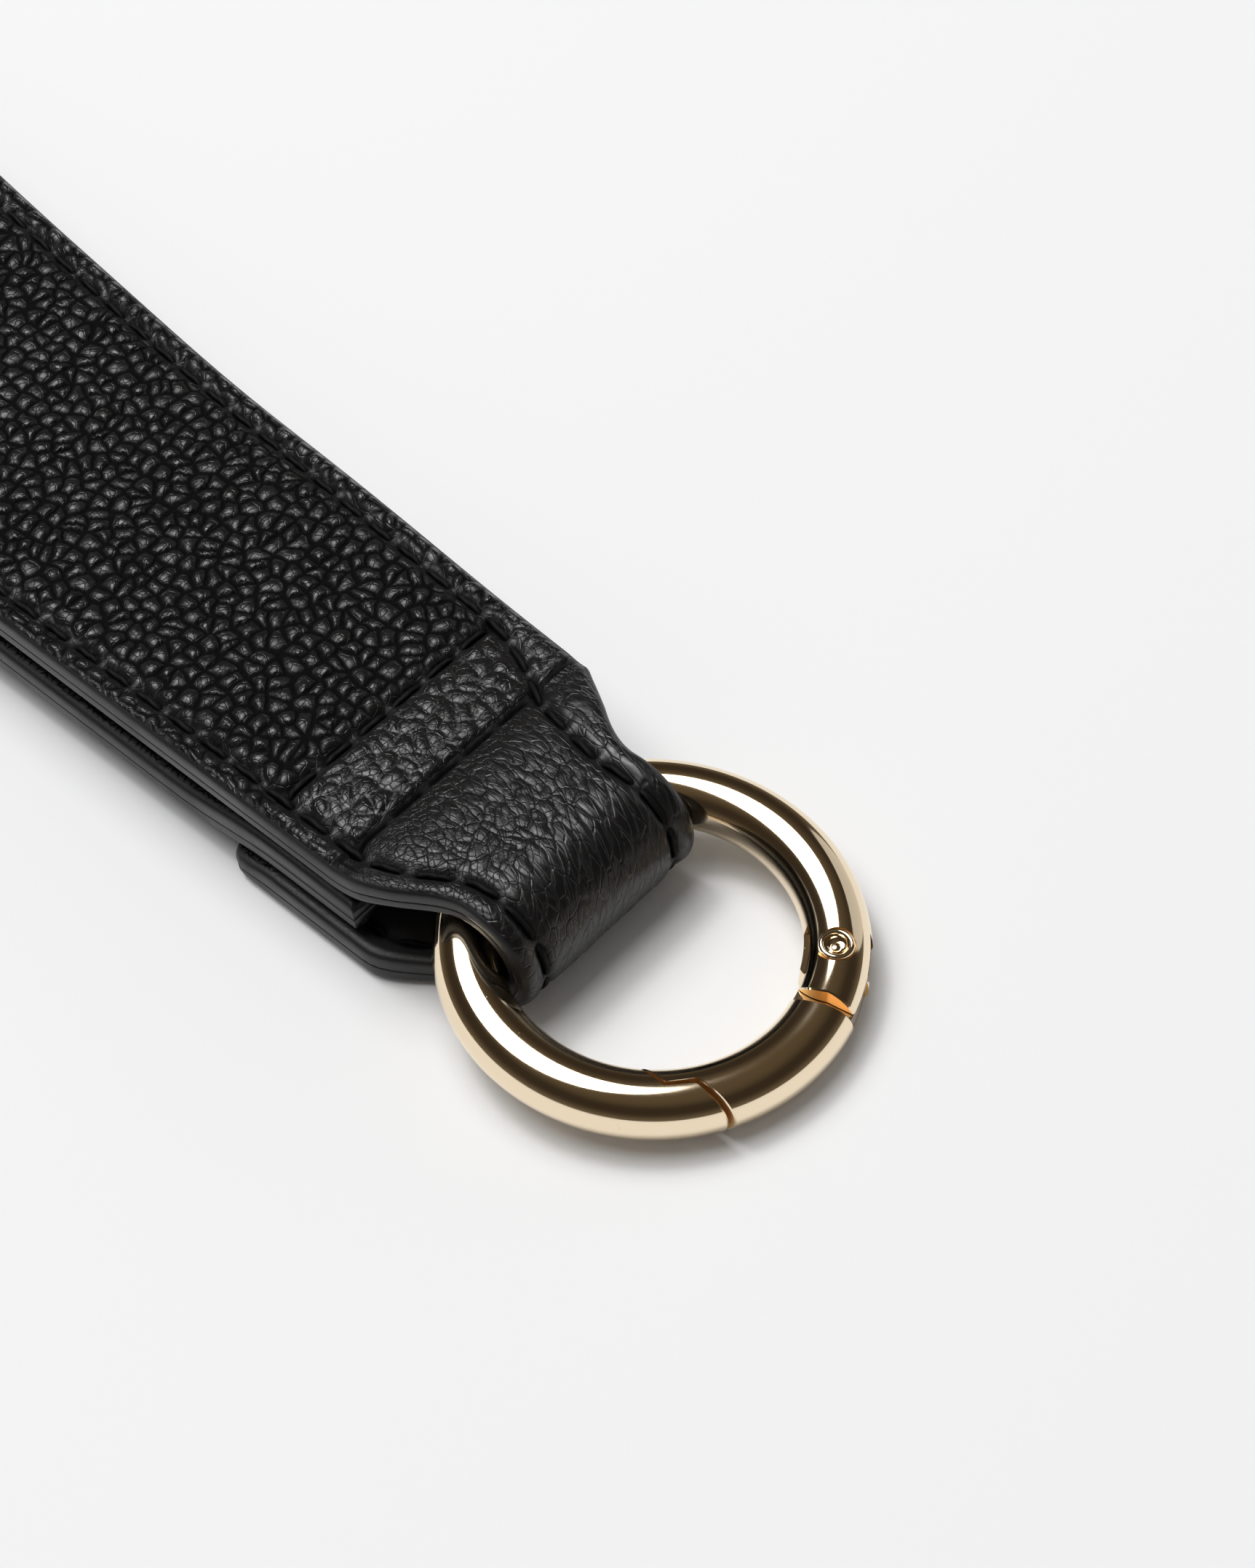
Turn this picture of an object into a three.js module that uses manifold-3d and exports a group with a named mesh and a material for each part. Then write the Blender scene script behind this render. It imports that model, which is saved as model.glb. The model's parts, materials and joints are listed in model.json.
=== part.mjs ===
// Wristlet keychain: a leather wrist loop sewn round a round spring-gate ring.
// Millimetres, +Z up. The loop lies on its folded tab, the ring lies beside it.
// Working frame: +X runs along the strap towards the ring, the ring's centre is at x = 0, y = 0,
// and the surface that everything rests on is z = 0. The finished group is centred at the end.
import * as THREE from 'three';
import { mergeVertices } from 'three/addons/utils/BufferGeometryUtils.js';
import Module from 'manifold-3d';

const wasm = await Module();
wasm.setup();

// ---------- driving dimensions: leather ----------
const PLY = 1.45;                // each of the two leather plies, in the runs
const PLY_AT_FOLD = 1.2;         // the same plies, pared where they wrap the wire
const PLY_AT_TAB_END = 1.02;     // the same plies, pared at the end of the tab
const GLUE_LINE = 0.15;          // space between the two plies
const LAYER_GAP = 0.25;          // space between the layers sewn together in the box
const EDGE_CHAMFER = 0.35;       // rounding of the painted edges
const STRAP_HALF_WIDTH = 12.6;   // half of the strap's width at the box
const STRAP_FLARE = 0.047;       // growth of that half width for each mm away from the ring
const FLARE_LENGTH = 78;         // the strap stops growing this far behind the box
const STRAP_SKEW = 0.089;        // sideways run of the strap's centre line for each mm
const STRAP_OFFSET = 1.0;        // centre line of the strap at the box, sideways of the ring's centre
const FOLD_NEAR = 8.9;           // tab's edges at the fold, each side of the ring's centre
const FOLD_FAR = 8.5;
const TAB_OVERHANG = 0.5;        // how far the tab stands out past the strap's near edge

// stations along the strap, measured back from the back of the wire
const BOX_BACK = 6.59;           // middle of the sewn box
const BOX_HALF_LENGTH = 3.85;    // from there to the cross rows
const ROW_DRIFT_BACK = 11.09;    // the far row starts to leave the strap's edge here ...
const ROW_MEET = 0.94;           // ... and follows the fold's edge from here, behind the fold's bend
const MIDDLE_END_BACK = 1.89;    // square-cut end of the strap, between the two other layers
const TAB_END_BACK = 15.69;      // end of the folded tab
const TAB_CORNER = 1.25;         // its rounded corners
const SHOULDER_START_BACK = 1.09;  // the strap narrows from here ...
const SHOULDER_END = 0.34;       // ... to here, behind the centre of the fold's bend
const WRAP_START_BACK = 4.09;    // the top run starts to rise over the wire here ...
const WRAP_TOP_BACK = -1.91;     // ... and is level again here
const DROP_BACK = 9.09;          // the lower run leaves the box here ...
const HANG_FROM_BACK = 22.09;    // ... hangs level between these two ...
const HANG_TO_BACK = 43.09;
const LANDING_BACK = 85.09;      // ... and lies on the surface from here
const RISE_BACK = 40.09;         // the top run starts to rise here ...
const RISE_PULL_BACK = 73.09;    // ... pulled level as far as here ...
const BEND_PULL_BACK = 103.09;   // ... and from here to the far bend
const BEND_BACK = 123.09;        // where the far bend starts
const HANG = 2.1;                // height of the hanging stretch above a run that lies flat
const BEND_REACH = 9;            // how far the far bend bulges past its start
const BEND_TOP = 14.5;           // height of its lining face at the top
const EASE_PULL = 0.45;          // share of a rise that stays level at each end
const TAB_PULL = 0.3;            // the same, under the wire
const PARE_STEP = 0.3;           // share of the tab's paring left where its corners start

// ---------- driving dimensions: sewing ----------
const SEAM_INSET = 2.1;          // edge rows, in from the edges
const SEAM_CHANNEL = 0.9;        // width of the channel that a row lies in
const SEAM_DEPTH = 0.42;
const THREAD_WIDTH = 0.7;
const THREAD_CLEAR = 0.07;       // between a thread and its channel
const CROSS_CLEAR = 0.4;         // between a cross row and the edge rows' channels
const CROSS_SIDE_CLEAR = 0.1;    // between a cross row and its own channel
const CORNER_CLEAR = 0.05;       // between a tab corner and the edge rows' channels

// ---------- driving dimensions: ring ----------
const RING_OD = 30;
const WIRE = 4.64;               // diameter of the ring's wire
const REST_GAP = 0.06;           // between the wire and the leather it lies on
const RISE_UNDER_WIRE = 0.8;     // share of the tab's rise that can lie under the back of the wire
const FOLD_CLEAR = 0.1;          // between the wire and the leather over it
const FOLD_FRONT_PRESS = 0.195;  // the wire's inner side dents the fold's edges by this much
const SPLIT_GAP = 0.34;          // clasp and hinge splits
const RIVET_ANGLE = 34.4;        // degrees round the ring from +X
const RIVET_INSET = 0.28;        // the rivet stands this far inside the wire's centre line
const FORK_RADIUS = 4.07;        // hinge split, about the rivet between these two bearings
const FORK_FROM = -118;
const FORK_TO = -60;
const HINGE_OUTSIDE = 14.9;      // degrees round the ring where the hinge split leaves the wire
const TONGUE_ROOT = 8;           // degrees round the ring where the gate's tongue begins
const SLOT_END = 5;              // ... and where the slot for it ends
const SLOT_MOUTH = 12;           // degrees from the rivet to the slot's mouth outside the ring
const SLOT_MOUTH_INSIDE = 6;     // ... and inside it
const KNUCKLE_RADIUS = 2.7;
const KNUCKLE_CLEAR = 0.25;
const TONGUE = 1.9;              // thickness of the gate's tongue
const SLOT = 2.1;                // width of the slot it turns in
const RIVET_SHANK = 2.2;
const RIVET_HOLE = 1.64;
const RIVET_COLLAR = 2.5;
const RIVET_COLLAR_HEIGHT = 0.5;
const COLLAR_BEVEL = 0.12;
const RIVET_PROUD = 0.1;         // the rivet stands this far out of the wire on both sides
const RIVET_CLEAR = 0.06;        // running clearance of the shank
const SPOTFACE_CLEAR = 0.16;     // round and under the collars
// the clasp split steps along the wire, so the gate opens inwards only: degrees of its four corners
const CLASP_ANGLES = [-61, -45, -35.9, -26.9];
const CLASP_INNER = 0.18;        // corners of the step, inside the wire's centre line
const CLASP_OUTER = 0.28;
const CLASP_PAST = 0.72;         // the first and last corner are this far past the wire
const PLUNGER = 1.3;             // spring plunger that pushes the gate shut
const PLUNGER_LENGTH = 1.95;
const PLUNGER_LEVER = 0.85;      // its line passes this far from the rivet
const PLUNGER_BEARING = -47.7;   // degrees
const PLUNGER_BORE = 1.6;
const BORE_DEPTH = 7.5;          // from the rivet to the bottom of the bore
const BORE_MOUTH = 2.2;          // from the rivet to the bore's mouth in the slot
const PLUNGER_DOME = 0.4;
const KNUCKLE_FLAT = 1.6;        // from the rivet to the flat that the plunger presses
const SPRING_WIRE = 0.26;
const SPRING_TURNS = 5;
const GAP = 0.1;                 // between the spring, the plunger and what they press on
const CUT_PAST = 3;              // cutters reach this far past what they cut

// ---------- derived dimensions ----------
const deg = THREE.MathUtils.degToRad;
const r = WIRE / 2;
const R = RING_OD / 2 - r;
const thick = (ply) => 2 * ply + GLUE_LINE;
const RUN = thick(PLY);
const FOLD = thick(PLY_AT_FOLD);
const TAB_END = thick(PLY_AT_TAB_END);
const RIVET_LENGTH = WIRE + 2 * RIVET_PROUD;
const MIDDLE_Z = 2 * RUN + LAYER_GAP;                 // lining face of the middle layer
const TOP_Z = 2 * RUN + 2 * LAYER_GAP;                // lining face of the top layer
// the ring rests on the surface at +X, and on the tab where the wire crosses the tab's edges or
// where the tab rises behind them, whichever tilts it more
const crossing = Math.sqrt(R * R - FOLD_NEAR * FOLD_NEAR);
const risen = FOLD + RISE_UNDER_WIRE * Math.max(RUN - FOLD, 0);
const TILT = Math.asin(Math.max((FOLD + REST_GAP) / (R + crossing), (risen + REST_GAP) / (2 * R)));
const RING_Z = r + R * Math.sin(TILT);
const wireZ = RING_Z + R * Math.sin(TILT);            // height of the wire's centre inside the fold
const FOLD_TOP_Z = wireZ + r + FOLD_CLEAR;
const foldRadius = (FOLD_TOP_Z - FOLD) / 2;
const eyeAtEdge = Math.sqrt(Math.max((R - r) ** 2 - FOLD_NEAR ** 2, 0));
const foldFront = -eyeAtEdge * Math.cos(TILT) - FOLD_FRONT_PRESS;
const foldX = foldFront - foldRadius;
// a tab corner stays outside the edge rows' channels
const tabCorner = Math.min(TAB_CORNER, SEAM_INSET - SEAM_CHANNEL / 2 - EDGE_CHAMFER - CORNER_CLEAR);
const wireBack = -R * Math.cos(TILT) - r;
const boxX = wireBack - BOX_BACK;
const frontRow = boxX + BOX_HALF_LENGTH;
const rearRow = boxX - BOX_HALF_LENGTH;
const bendX = wireBack - BEND_BACK;
const tabEndX = wireBack - TAB_END_BACK;
const shoulder = [wireBack - SHOULDER_START_BACK, foldX - SHOULDER_END];
const rowDrift = [wireBack - ROW_DRIFT_BACK, foldX - ROW_MEET];

// ---------- solids ----------
const polar = (radius, degrees) =>
  new THREE.Vector2(radius * Math.cos(deg(degrees)), radius * Math.sin(deg(degrees)));

function closed(geometry) {
  const g = geometry.index ? geometry : mergeVertices(geometry);
  g.deleteAttribute('normal');
  g.deleteAttribute('uv');
  return mergeVertices(g, 1e-5);
}

function solid(geometry) {
  const g = closed(geometry);
  const mesh = new wasm.Mesh({
    numProp: 3,
    vertProperties: new Float32Array(g.attributes.position.array),
    triVerts: new Uint32Array(g.index.array),
  });
  const body = new wasm.Manifold(mesh);
  if (body.volume() > 0) return body;
  const flipped = g.index.array.slice();
  for (let i = 0; i < flipped.length; i += 3) [flipped[i], flipped[i + 1]] = [flipped[i + 1], flipped[i]];
  g.setIndex(new THREE.BufferAttribute(new Uint32Array(flipped), 1));
  return new wasm.Manifold(new wasm.Mesh({
    numProp: 3, vertProperties: mesh.vertProperties, triVerts: new Uint32Array(flipped),
  }));
}

function geometryOf(body) {
  const mesh = body.getMesh();
  const g = new THREE.BufferGeometry();
  const points = new Float32Array(mesh.numVert * 3);
  for (let i = 0; i < mesh.numVert; i++) {
    for (let k = 0; k < 3; k++) points[3 * i + k] = mesh.vertProperties[mesh.numProp * i + k];
  }
  g.setAttribute('position', new THREE.BufferAttribute(points, 3));
  g.setIndex(new THREE.BufferAttribute(new Uint32Array(mesh.triVerts), 1));
  return g;
}

function prism(points, low, high) {
  const g = new THREE.ExtrudeGeometry(new THREE.Shape(points), { depth: high - low, bevelEnabled: false });
  return solid(g.translate(0, 0, low));
}

function drum(radius, low, high, centre, sides = 24) {
  const g = new THREE.CylinderGeometry(radius, radius, high - low, sides);
  g.rotateX(Math.PI / 2).translate(centre.x, centre.y, (low + high) / 2);
  return solid(g);
}

// ---------- the strap's path ----------
// Each station holds a point of the lining face (x, z), the way out through the leather (nx, nz)
// and the thickness of a ply there. The path runs from the square-cut end along the lower run,
// round the far bend, back along the top run, round the wire and under the box as the tab.
const smooth = THREE.MathUtils.smoothstep;
const lerp = THREE.MathUtils.lerp;
const stations = [];

function follow(curve, steps, plyAt, upright = false) {
  for (let i = stations.length ? 1 : 0; i <= steps; i++) {
    const p = curve.getPoint(i / steps);
    const t = curve.getTangent(i / steps);
    const out = upright ? new THREE.Vector2(0, Math.sign(t.x)) : new THREE.Vector2(-t.y, t.x);
    stations.push({ x: p.x, z: p.y, nx: out.x, nz: out.y, ply: plyAt(p) });
  }
}

const v2 = (x, y) => new THREE.Vector2(x, y);
const line = (a, b) => new THREE.LineCurve(a, b);
const back = (distance, z) => v2(wireBack - distance, z);
const ease = (a, b, pull = EASE_PULL) => new THREE.CubicBezierCurve(
  a, v2(lerp(a.x, b.x, pull), a.y), v2(lerp(b.x, a.x, pull), b.y), b);

const hangZ = RUN + HANG;
const drop = back(DROP_BACK, MIDDLE_Z);
const landing = back(LANDING_BACK, RUN);
const rise = back(RISE_BACK, TOP_Z);
const bendBottom = v2(bendX, RUN);
const bendTop = v2(bendX, BEND_TOP);
const bendRadius = (BEND_TOP - RUN) / 2;
const boxRear = v2(rowDrift[0], TOP_Z);
const wrapStart = back(WRAP_START_BACK, TOP_Z);
const wrapTop = back(WRAP_TOP_BACK, FOLD_TOP_Z);
const tabRise = v2(shoulder[0], RUN);
const pareStart = v2(rowDrift[0], RUN);
const cornerStart = v2(tabEndX + tabCorner, lerp(TAB_END, RUN, PARE_STEP));

const runPly = () => PLY;
const foldPly = () => PLY_AT_FOLD;
const tabPly = (p) => (p.y - GLUE_LINE) / 2;

follow(line(back(MIDDLE_END_BACK, MIDDLE_Z), drop), 1, runPly, true);
follow(ease(drop, back(HANG_FROM_BACK, hangZ)), 4, runPly);
follow(line(back(HANG_FROM_BACK, hangZ), back(HANG_TO_BACK, hangZ)), 1, runPly);
follow(ease(back(HANG_TO_BACK, hangZ), landing), 4, runPly);
follow(line(landing, bendBottom), 1, runPly);
const bendStart = stations.length;
follow(new THREE.EllipseCurve(bendX, RUN + bendRadius, BEND_REACH, bendRadius,
  -Math.PI / 2, Math.PI / 2, true), 12, runPly);
follow(new THREE.CubicBezierCurve(
  bendTop, back(BEND_PULL_BACK, BEND_TOP), back(RISE_PULL_BACK, TOP_Z), rise), 7, runPly);
follow(line(rise, boxRear), 1, runPly);
follow(line(boxRear, wrapStart), 4, runPly);
follow(ease(wrapStart, wrapTop), 4, (p) => lerp(PLY, PLY_AT_FOLD, smooth(p.x, wrapStart.x, wrapTop.x)));
follow(line(wrapTop, v2(foldX, FOLD_TOP_Z)), 4, foldPly);
follow(new THREE.EllipseCurve(foldX, (FOLD_TOP_Z + FOLD) / 2, foldRadius, foldRadius,
  Math.PI / 2, -Math.PI / 2, true), 10, foldPly);
const tabStart = stations.length - 1;
follow(ease(v2(foldX, FOLD), tabRise, TAB_PULL), 6, tabPly, true);
follow(line(tabRise, pareStart), 5, tabPly, true);
follow(line(pareStart, cornerStart), 1, tabPly, true);
follow(line(cornerStart, v2(tabEndX, TAB_END)), 5, tabPly, true);

// edges of the strap across the path at a station: [near, far]
function edges(station, index) {
  const behind = boxX - station.x;
  const centre = STRAP_OFFSET + STRAP_SKEW * behind;
  const half = STRAP_HALF_WIDTH + STRAP_FLARE * Math.min(behind, FLARE_LENGTH);
  const overhang = index >= tabStart ? TAB_OVERHANG : 0;
  const narrowing = index < bendStart ? 0 : smooth(station.x, ...shoulder);
  const near = lerp(centre - half - overhang, -FOLD_NEAR, narrowing);
  const far = lerp(centre + half, FOLD_FAR, narrowing);
  return [near, far];
}

// middle lines of the two edge rows: the far one cuts across inside the shoulder
function rows(station, index) {
  const [near, far] = edges(station, index);
  const drift = index < bendStart ? 0 : smooth(station.x, ...rowDrift);
  const [, straightFar] = edges({ x: Math.min(station.x, shoulder[0]) }, index);
  return [near + SEAM_INSET,
    Math.min(far, lerp(straightFar, FOLD_FAR, drift)) - SEAM_INSET];
}

function cornerInset(station, index) {
  const left = station.x - tabEndX;
  if (index < tabStart || left >= tabCorner) return 0;
  return tabCorner - Math.sqrt(Math.max(0, tabCorner ** 2 - (tabCorner - left) ** 2));
}

// A closed body swept through the stations; section(station, index) gives its outline as
// [sideways, outwards] pairs, with the same number of points at every station.
function sweep(section, from = 0, to = stations.length - 1) {
  const points = [];
  const outlines = [];
  for (let i = from; i <= to; i++) {
    const s = stations[i];
    let outline = section(s, i).map(([y, n]) => v2(y, n));
    if (THREE.ShapeUtils.area(outline) < 0) outline = outline.reverse();
    outlines.push(outline);
    for (const p of outline) points.push(s.x + s.nx * p.y, p.x, s.z + s.nz * p.y);
  }
  const n = outlines[0].length;
  const index = [];
  for (let i = 0; i < outlines.length - 1; i++) {
    for (let j = 0; j < n; j++) {
      const k = (j + 1) % n;
      const [a, b, c, d] = [i * n + j, i * n + k, (i + 1) * n + k, (i + 1) * n + j];
      index.push(a, b, c, a, c, d);
    }
  }
  const last = (outlines.length - 1) * n;
  for (const [a, b, c] of THREE.ShapeUtils.triangulateShape(outlines[0], [])) index.push(a, c, b);
  for (const [a, b, c] of THREE.ShapeUtils.triangulateShape(outlines.at(-1), [])) {
    index.push(last + a, last + b, last + c);
  }
  const g = new THREE.BufferGeometry();
  g.setAttribute('position', new THREE.Float32BufferAttribute(points, 3));
  g.setIndex(index);
  return g;
}

// outline of a ply from face a to face b, with chamfers and two seam channels in its show face b
function plyOutline(station, index, a, b) {
  const [near, far] = edges(station, index);
  const inset = cornerInset(station, index);
  const out = Math.sign(b - a);
  const half = SEAM_CHANNEL / 2;
  const outline = [[near + inset, a], [near + inset, b - out * EDGE_CHAMFER],
    [near + inset + EDGE_CHAMFER, b]];
  for (const row of rows(station, index)) {
    outline.push([row - half, b], [row - half, b - out * SEAM_DEPTH],
      [row + half, b - out * SEAM_DEPTH], [row + half, b]);
  }
  outline.push([far - inset - EDGE_CHAMFER, b], [far - inset, b - out * EDGE_CHAMFER],
    [far - inset, a]);
  return outline;
}

const liningTop = (s) => s.ply;
const outerBottom = (s) => s.ply + GLUE_LINE;
const outerTop = (s) => 2 * s.ply + GLUE_LINE;

// a row's thread in its channel; side is -1 on the near edge and 1 on the far edge
function rowThread(side, onLining) {
  return sweep((s, i) => {
    const [near, far] = rows(s, i);
    const y = side < 0 ? near : far;
    const face = onLining ? 0 : outerTop(s);
    const into = onLining ? 1 : -1;
    const low = face + into * (SEAM_DEPTH - THREAD_CLEAR);
    const high = face + into * THREAD_CLEAR;
    const half = THREAD_WIDTH / 2;
    return [[y - half, low], [y + half, low], [y + half, high], [y - half, high]];
  }, 1, stations.length - 3);
}

// the two cross rows of the box, between the edge rows, on the show faces
function crossSpan(x, grow) {
  const [near, far] = rows({ x }, stations.length - 1);
  const inset = SEAM_CHANNEL / 2 + CROSS_CLEAR - grow;
  return [near + TAB_OVERHANG + inset, far - inset];
}

function crossBar(x, low, high, grow) {
  const [near, far] = crossSpan(x, grow);
  const half = THREAD_WIDTH / 2 + grow;
  return prism([v2(x - half, near), v2(x + half, near), v2(x + half, far), v2(x - half, far)], low, high);
}

const topFace = TOP_Z + RUN;
let outerLeather = solid(sweep((s, i) => plyOutline(s, i, outerBottom(s), outerTop(s))));
for (const x of [frontRow, rearRow]) {
  outerLeather = outerLeather
    .subtract(crossBar(x, topFace - SEAM_DEPTH, topFace + CUT_PAST, CROSS_SIDE_CLEAR))
    .subtract(crossBar(x, -CUT_PAST, SEAM_DEPTH, CROSS_SIDE_CLEAR));
}

// ---------- the ring ----------
// Made in its own plane, with the centre at the origin and the axis along Z.
const torusProfile = [];
const TUBE_SIDES = 20;
for (let i = 0; i <= TUBE_SIDES; i++) {
  const a = (2 * Math.PI * (i % TUBE_SIDES)) / TUBE_SIDES;
  torusProfile.push(v2(R + r * Math.cos(a), r * Math.sin(a)));
}
const wireRing = solid(new THREE.LatheGeometry(torusProfile, 64).rotateX(Math.PI / 2));
const rivetAt = polar(R - RIVET_INSET, RIVET_ANGLE);
const aboutRivet = (radius, degrees) => rivetAt.clone().add(polar(radius, degrees));
const insideRing = R - r - CUT_PAST;
const outsideRing = R + r + CUT_PAST;

// moves an open line of points sideways by d (to its left when d is positive)
function shifted(points, d) {
  return points.map((p, i) => {
    const before = p.clone().sub(points[Math.max(i - 1, 0)]);
    const after = points[Math.min(i + 1, points.length - 1)].clone().sub(p);
    if (before.length() === 0) before.copy(after);
    if (after.length() === 0) after.copy(before);
    const n1 = v2(-before.y, before.x).normalize();
    const n2 = v2(-after.y, after.x).normalize();
    const n = n1.clone().add(n2).normalize();
    return p.clone().addScaledVector(n, d / n.dot(n1));
  });
}

const claspRadii = [R - r - CLASP_PAST, R - CLASP_INNER, R - CLASP_OUTER, R + r + CLASP_PAST];
const claspLine = CLASP_ANGLES.map((angle, i) => polar(claspRadii[i], angle));
const HINGE_STEPS = 10;
const hingeLine = [];
for (let i = 0; i <= HINGE_STEPS; i++) {
  hingeLine.push(aboutRivet(FORK_RADIUS, lerp(FORK_FROM, FORK_TO, i / HINGE_STEPS)));
}
hingeLine.push(polar(R + r + CLASP_PAST, HINGE_OUTSIDE));

// plan of the gate between the clasp split and the hinge split, each moved by d
function gatePlan(d) {
  const outside = [-0.5, 0, 0.5].map((share) => polar(outsideRing, share * HINGE_OUTSIDE));
  return [...shifted(claspLine, d), ...outside, ...shifted(hingeLine, -d).reverse()];
}

const tall = WIRE;
const fork = prism([polar(insideRing, RIVET_ANGLE), polar(outsideRing, RIVET_ANGLE),
  polar(outsideRing, (RIVET_ANGLE + TONGUE_ROOT) / 2), polar(outsideRing, TONGUE_ROOT),
  polar(insideRing, TONGUE_ROOT)], -TONGUE / 2, TONGUE / 2);
const push = polar(1, PLUNGER_BEARING);                 // the way the plunger pushes
const inward = v2(push.y, -push.x);                     // from the rivet towards the ring's centre
const onPlungerLine = (s) => rivetAt.clone().addScaledVector(inward, PLUNGER_LEVER).addScaledVector(push, s);

function alongPlunger(geometry, from) {
  const at = onPlungerLine(from);
  const turn = new THREE.Quaternion().setFromUnitVectors(
    new THREE.Vector3(0, 1, 0), new THREE.Vector3(push.x, push.y, 0));
  return geometry.applyQuaternion(turn).translate(at.x, at.y, 0);
}

function flatCutter() {
  const a = rivetAt.clone().addScaledVector(push, -KNUCKLE_FLAT);
  const far = push.clone().multiplyScalar(-FORK_RADIUS);
  const side = inward.clone().multiplyScalar(FORK_RADIUS);
  const p = a.clone().sub(side);
  const q = a.clone().add(side);
  return prism([p, q, q.clone().add(far), p.clone().add(far)], -tall, tall);
}

// a round seat about the rivet, open towards the gate inside and outside the ring
function hingeRoom(radius, height) {
  return prism([aboutRivet(radius, RIVET_ANGLE + 120), aboutRivet(radius, RIVET_ANGLE - 30),
    polar(outsideRing, RIVET_ANGLE - SLOT_MOUTH), polar(outsideRing, SLOT_END),
    polar(insideRing, SLOT_END), polar(insideRing, RIVET_ANGLE - SLOT_MOUTH_INSIDE)], -height / 2, height / 2)
    .add(drum(radius, -height / 2, height / 2, rivetAt, 36));
}

const knuckle = drum(KNUCKLE_RADIUS, -TONGUE / 2, TONGUE / 2, rivetAt, 36);
const gate = wireRing.intersect(prism(gatePlan(SPLIT_GAP / 2), -tall, tall))
  .add(wireRing.intersect(fork).intersect(hingeRoom(KNUCKLE_RADIUS, TONGUE)).subtract(flatCutter()))
  .add(knuckle.subtract(flatCutter()))
  .subtract(drum(RIVET_SHANK / 2 + RIVET_CLEAR, -tall, tall, rivetAt));

const spotface = RIVET_COLLAR / 2 + SPOTFACE_CLEAR;
const seat = RIVET_LENGTH / 2 - RIVET_COLLAR_HEIGHT - SPOTFACE_CLEAR / 2;
const bore = solid(alongPlunger(
  new THREE.CylinderGeometry(PLUNGER_BORE / 2, PLUNGER_BORE / 2, BORE_DEPTH - BORE_MOUTH, 16),
  -(BORE_DEPTH + BORE_MOUTH) / 2));
const ringBody = wireRing
  .subtract(prism(gatePlan(-SPLIT_GAP / 2), -tall, tall))
  .subtract(hingeRoom(KNUCKLE_RADIUS + KNUCKLE_CLEAR, SLOT))
  .subtract(drum(RIVET_SHANK / 2 + RIVET_CLEAR, -tall, tall, rivetAt))
  .subtract(drum(spotface, seat, tall, rivetAt))
  .subtract(drum(spotface, -tall, -seat, rivetAt))
  .subtract(bore);

const collar = RIVET_LENGTH / 2 - RIVET_COLLAR_HEIGHT;
const rivetSide = [
  v2(RIVET_SHANK / 2, collar), v2(RIVET_COLLAR / 2, collar),
  v2(RIVET_COLLAR / 2, RIVET_LENGTH / 2 - COLLAR_BEVEL),
  v2(RIVET_COLLAR / 2 - COLLAR_BEVEL, RIVET_LENGTH / 2), v2(RIVET_HOLE / 2, RIVET_LENGTH / 2),
];
const lowerSide = rivetSide.map((p) => v2(p.x, -p.y)).reverse();
const rivetProfile = [...lowerSide, ...rivetSide, lowerSide[0]];
const rivet = solid(new THREE.LatheGeometry(rivetProfile, 24).rotateX(Math.PI / 2)
  .translate(rivetAt.x, rivetAt.y, 0));

const tip = -KNUCKLE_FLAT - GAP;                      // plunger's domed tip, along its line
const pinRadius = PLUNGER / 2;
const pinProfile = [v2(0, -PLUNGER_LENGTH), v2(pinRadius, -PLUNGER_LENGTH), v2(pinRadius, -PLUNGER_DOME)];
for (const a of [30, 60, 90]) {
  pinProfile.push(v2(pinRadius * Math.cos(deg(a)), PLUNGER_DOME * (Math.sin(deg(a)) - 1)));
}
pinProfile[pinProfile.length - 1].x = 0;
const plunger = solid(alongPlunger(new THREE.LatheGeometry(pinProfile, 16), tip));

class Coil extends THREE.Curve {
  getPoint(t) {
    const turn = 2 * Math.PI * SPRING_TURNS * t;
    const radius = PLUNGER / 2 - SPRING_WIRE / 2;
    return new THREE.Vector3(radius * Math.cos(turn), springStart + SPRING_WIRE / 2
      + t * (springLength - SPRING_WIRE), radius * Math.sin(turn));
  }
}
const springStart = -BORE_DEPTH + GAP;
const springLength = tip - PLUNGER_LENGTH - GAP - springStart;
const wireSection = new THREE.Shape();
wireSection.absarc(0, 0, SPRING_WIRE / 2, 0, 2 * Math.PI);
const coil = new THREE.ExtrudeGeometry(new THREE.Shape(wireSection.getPoints(3)), {
  steps: SPRING_TURNS * 10, extrudePath: new Coil(), bevelEnabled: false,
});
const spring = solid(alongPlunger(coil, 0));

// ---------- assembly ----------
const leather = new THREE.MeshStandardMaterial({ color: '#1b1a1a', roughness: 0.5, metalness: 0 });
const lining = new THREE.MeshStandardMaterial({ color: '#202022', roughness: 0.6, metalness: 0 });
const thread = new THREE.MeshStandardMaterial({ color: '#0e0e0f', roughness: 0.7, metalness: 0 });
const gold = new THREE.MeshStandardMaterial({ color: '#e8c788', roughness: 0.15, metalness: 1 });
const steel = new THREE.MeshStandardMaterial({ color: '#b9b9b9', roughness: 0.3, metalness: 1 });

const strap = new THREE.Group();
const ring = new THREE.Group();
ring.rotation.y = TILT;
ring.position.z = RING_Z;

function place(parent, name, geometry, material) {
  const mesh = new THREE.Mesh(geometry, material.clone());
  mesh.name = name;
  parent.add(mesh);
}

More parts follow.
